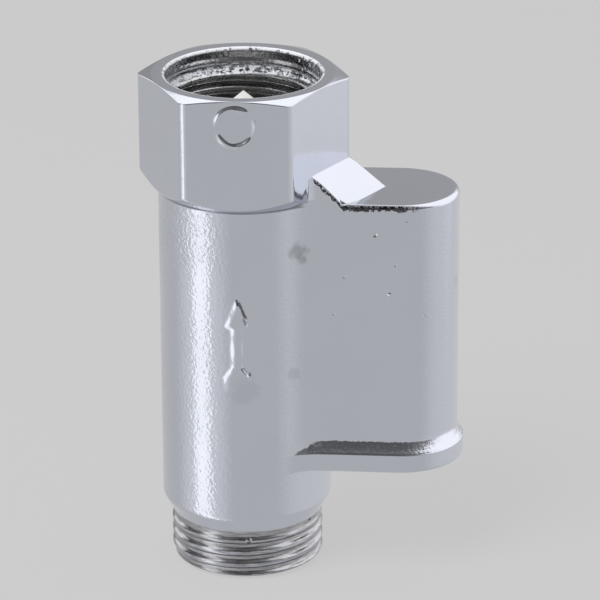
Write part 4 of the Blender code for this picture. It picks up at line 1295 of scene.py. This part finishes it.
# Every piece: its object, the node it stands for, its body, its slot and its finish
PIECES = [
    (casting, "valve_body", "casing", "chrome_plate", CHROME),
    (turned("seat_ring", CHECK_SEAT, MAIN_X), "check_seat", "casing", "white_plastic", ACETAL),
    (turned("seat_oring", SEAT_ORING, MAIN_X), "check_seat_oring", "casing", "black_rubber", RUBBER),
    (turned("poppet", CHECK_POPPET, MAIN_X), "check_poppet", "check_valve", "white_plastic", ACETAL),
    (turned("poppet_seal", CHECK_SEAL, MAIN_X), "check_seal", "check_valve", "black_rubber", RUBBER),
    (turned("poppet_washer", CHECK_SEAL_WASHER, MAIN_X), "check_seal_washer",
     "check_valve", "stainless_steel", STEEL),
    (coil("poppet_spring", MAIN_X, CHECK_SPRING_FOOT, CHECK_SPRING_TOP,
          mean_r=2.55, wire_r=0.35, turns=7),
     "check_spring", "casing", "stainless_steel", STEEL),
    (make_guide(), "check_guide", "casing", "white_plastic", ACETAL),
    (make_snap_ring(), "check_retaining_ring", "casing", "stainless_steel", STEEL),
    (turned("seal_holder", RELIEF_DISC, LOBE_X), "relief_disc", "relief_valve", "brass", BRASS),
    (turned("seal_disc", RELIEF_SEAL, LOBE_X), "relief_seal", "relief_valve", "black_rubber", RUBBER),
    (make_seal_screw(), "relief_seal_screw", "relief_valve", "brass", BRASS),
    (coil("overpressure_spring", LOBE_X, RELIEF_SPRING_FOOT, RELIEF_SPRING_TOP,
          mean_r=3.6, wire_r=0.6, turns=5.5),
     "relief_spring", "casing", "stainless_steel", STEEL),
    (turned("spring_plate", SPRING_PLATE, LOBE_X), "relief_spring_plate", "casing",
     "stainless_steel", STEEL),
    (turned("key_plug", ADJUSTER, LOBE_X), "relief_adjuster", "casing", "brass", BRASS),
    (make_lock_ring(), "relief_lock_ring", "casing", "brass", BRASS),
]
for piece, node, body, slot, material in PIECES:
    piece.data.materials.clear()
    piece.data.materials.append(material)
    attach(piece, body)
    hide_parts(node)

# Each spring gets a mesh of its own
springs = {node: piece for piece, node, _, _, _ in PIECES if node.endswith("_spring")}
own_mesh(springs["check_spring"])
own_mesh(springs["relief_spring"])


# Studio

CAMERA_TARGET = (-0.300, 0.0, 37.643)
CAMERA_DISTANCE = 553.97
CAMERA_AZIMUTH = math.radians(4.316)
CAMERA_ELEVATION = math.radians(21.856)
CAMERA_ROLL = math.radians(-0.263)
CAMERA_LENS = 242.93


def make_camera():
    """A long lens on the photograph's line of sight."""
    back = Vector(
        (
            math.sin(CAMERA_AZIMUTH) * math.cos(CAMERA_ELEVATION),
            -math.cos(CAMERA_AZIMUTH) * math.cos(CAMERA_ELEVATION),
            math.sin(CAMERA_ELEVATION),
        )
    )
    data = bpy.data.cameras.new("camera")
    data.lens = CAMERA_LENS
    data.sensor_width = 36.0
    data.clip_start = 0.01
    camera = bpy.data.objects.new("camera", data)
    bpy.context.scene.collection.objects.link(camera)
    turn = back.to_track_quat("Z", "Y").to_matrix().to_4x4()
    place = Matrix.Translation((Vector(CAMERA_TARGET) + back * CAMERA_DISTANCE) * MM)
    camera.matrix_world = place @ turn @ Matrix.Rotation(CAMERA_ROLL, 4, "Z")
    bpy.context.scene.camera = camera


# Brightness of the backdrop to the camera, and of what the chrome finds round about
BACKDROP = 0.604
GROUND = 0.62
GROUND_BEHIND = 0.46
BACK_WALL = 0.32
CEILING_PANEL = 1.35
DARK_ROOM = 0.13
RIGHT_LIGHT = 1.4
RIGHT_GLOW = 0.14
TALL_STRIP = 1.42
STRIP_GLOW = 0.22
FILL = 0.5

# Where it lies, in degrees round from +X and up from level
CAMERA_SIDE = (-85.7, 0)
RIGHT_SIDE = (20, 35)
STRIP_SIDE = (-148, 0)


def make_world():
    """A pale studio: what is plain to the camera, and what the chrome finds in each direction.

    Seen in the chrome are a pale ground, a dark room above the camera, a grey back wall, a bright
    ceiling panel behind, a tall soft strip at the left front and a wide soft light at the right.
    """
    world = bpy.data.worlds.new("studio")
    bpy.context.scene.world = world
    world.cycles.sampling_method = "NONE"
    nodes = Nodes(world)
    direction = nodes.node("ShaderNodeTexCoord", output="Generated")
    across, along, up = nodes.split(direction)

    def dot(azimuth, elevation):
        """Cosine of the angle between the direction and another, given in degrees."""
        level = math.cos(math.radians(elevation))
        azimuth = math.radians(azimuth)
        return (
            across * (level * math.cos(azimuth)) + along * (level * math.sin(azimuth))
            + up * math.sin(math.radians(elevation))
        )

    front = dot(*CAMERA_SIDE)
    level = nodes.node("ShaderNodeMath", {"operation": "POWER"}, [1.0 - up * up, 0.5])
    upper = nodes.blend(nodes.ramp(front, -0.84, -0.76), BACK_WALL, CEILING_PANEL)
    upper = nodes.blend(nodes.ramp(front, -0.42, -0.28), upper, DARK_ROOM)
    behind = nodes.ramp(front, -0.80, -0.95) * nodes.ramp(up, -0.35, -0.20)
    ground = nodes.blend(behind, GROUND, GROUND_BEHIND)
    seen = nodes.blend(nodes.ramp(up, -0.08, 0.02), ground, upper)
    right = dot(*RIGHT_SIDE)
    seen = seen + nodes.ramp(right, 0.02, 0.5) * RIGHT_GLOW
    seen = nodes.blend(nodes.ramp(right, 0.51, 0.80), seen, RIGHT_LIGHT)
    strip = dot(*STRIP_SIDE) / level
    tall = nodes.band(up, (-0.95, -0.85), (0.96, 0.86))
    seen = seen + nodes.ramp(strip, 0.70, 0.98) * tall * STRIP_GLOW
    seen = nodes.blend(nodes.ramp(strip, 0.965, 0.993) * tall, seen, TALL_STRIP)

    path = nodes.tree.nodes.new("ShaderNodeLightPath")
    camera_ray = Value(nodes, path.outputs["Is Camera Ray"])
    diffuse_ray = Value(nodes, path.outputs["Is Diffuse Ray"])
    strength = nodes.blend(camera_ray, nodes.blend(diffuse_ray, seen, FILL), BACKDROP)
    background = nodes.node(
        "ShaderNodeBackground", None, {"Color": (1, 1, 1, 1), "Strength": strength}
    )
    nodes.node("ShaderNodeOutputWorld", None, [background])


def floor_finish(nodes, place):
    """Pale floor: mostly its own even tone to the camera, the rest takes the object's shadow."""
    even = nodes.node(
        "ShaderNodeEmission", None, {"Color": (BACKDROP, BACKDROP, BACKDROP, 1), "Strength": 1.0}
    )
    speck = nodes.noise(place, 60.0, 2.0)
    tone = nodes.tint(speck, (0.655, 0.655, 0.655, 1), (0.670, 0.670, 0.670, 1))
    lit = nodes.node("ShaderNodeBsdfDiffuse", None, {"Color": tone})
    path = nodes.tree.nodes.new("ShaderNodeLightPath")
    seen = Value(nodes, path.outputs["Is Camera Ray"])
    return nodes.node("ShaderNodeMixShader", None, [seen * 0.85, lit, even])


FLOOR_REACH = 4000.0


def make_floor():
    """A wide square under the object, which the chrome doesn't show."""
    points = np.array([(-1, -1, 0), (1, -1, 0), (1, 1, 0), (-1, 1, 0)]) * FLOOR_REACH
    floor = mesh_piece("floor", points, np.array([[0, 1, 2, 3]]))
    floor.data.materials.append(finish("pale_floor", floor_finish))
    floor.visible_glossy = False


LAMP_PLACE = (-0.35, -0.45, 0.85)
LAMP_SIZE = 0.6
LAMP_POWER = 6.0


def make_lamp():
    """One wide soft lamp, high at the left front."""
    data = bpy.data.lights.new("soft_lamp", "AREA")
    data.shape = "DISK"
    data.size = LAMP_SIZE
    data.energy = LAMP_POWER
    lamp = bpy.data.objects.new("soft_lamp", data)
    bpy.context.scene.collection.objects.link(lamp)
    lamp.location = LAMP_PLACE
    lamp.rotation_euler = (-lamp.location).to_track_quat("-Z", "Y").to_euler()
    lamp.visible_glossy = False


make_camera()
make_world()
make_floor()
make_lamp()
bpy.context.scene.view_settings.view_transform = "Standard"
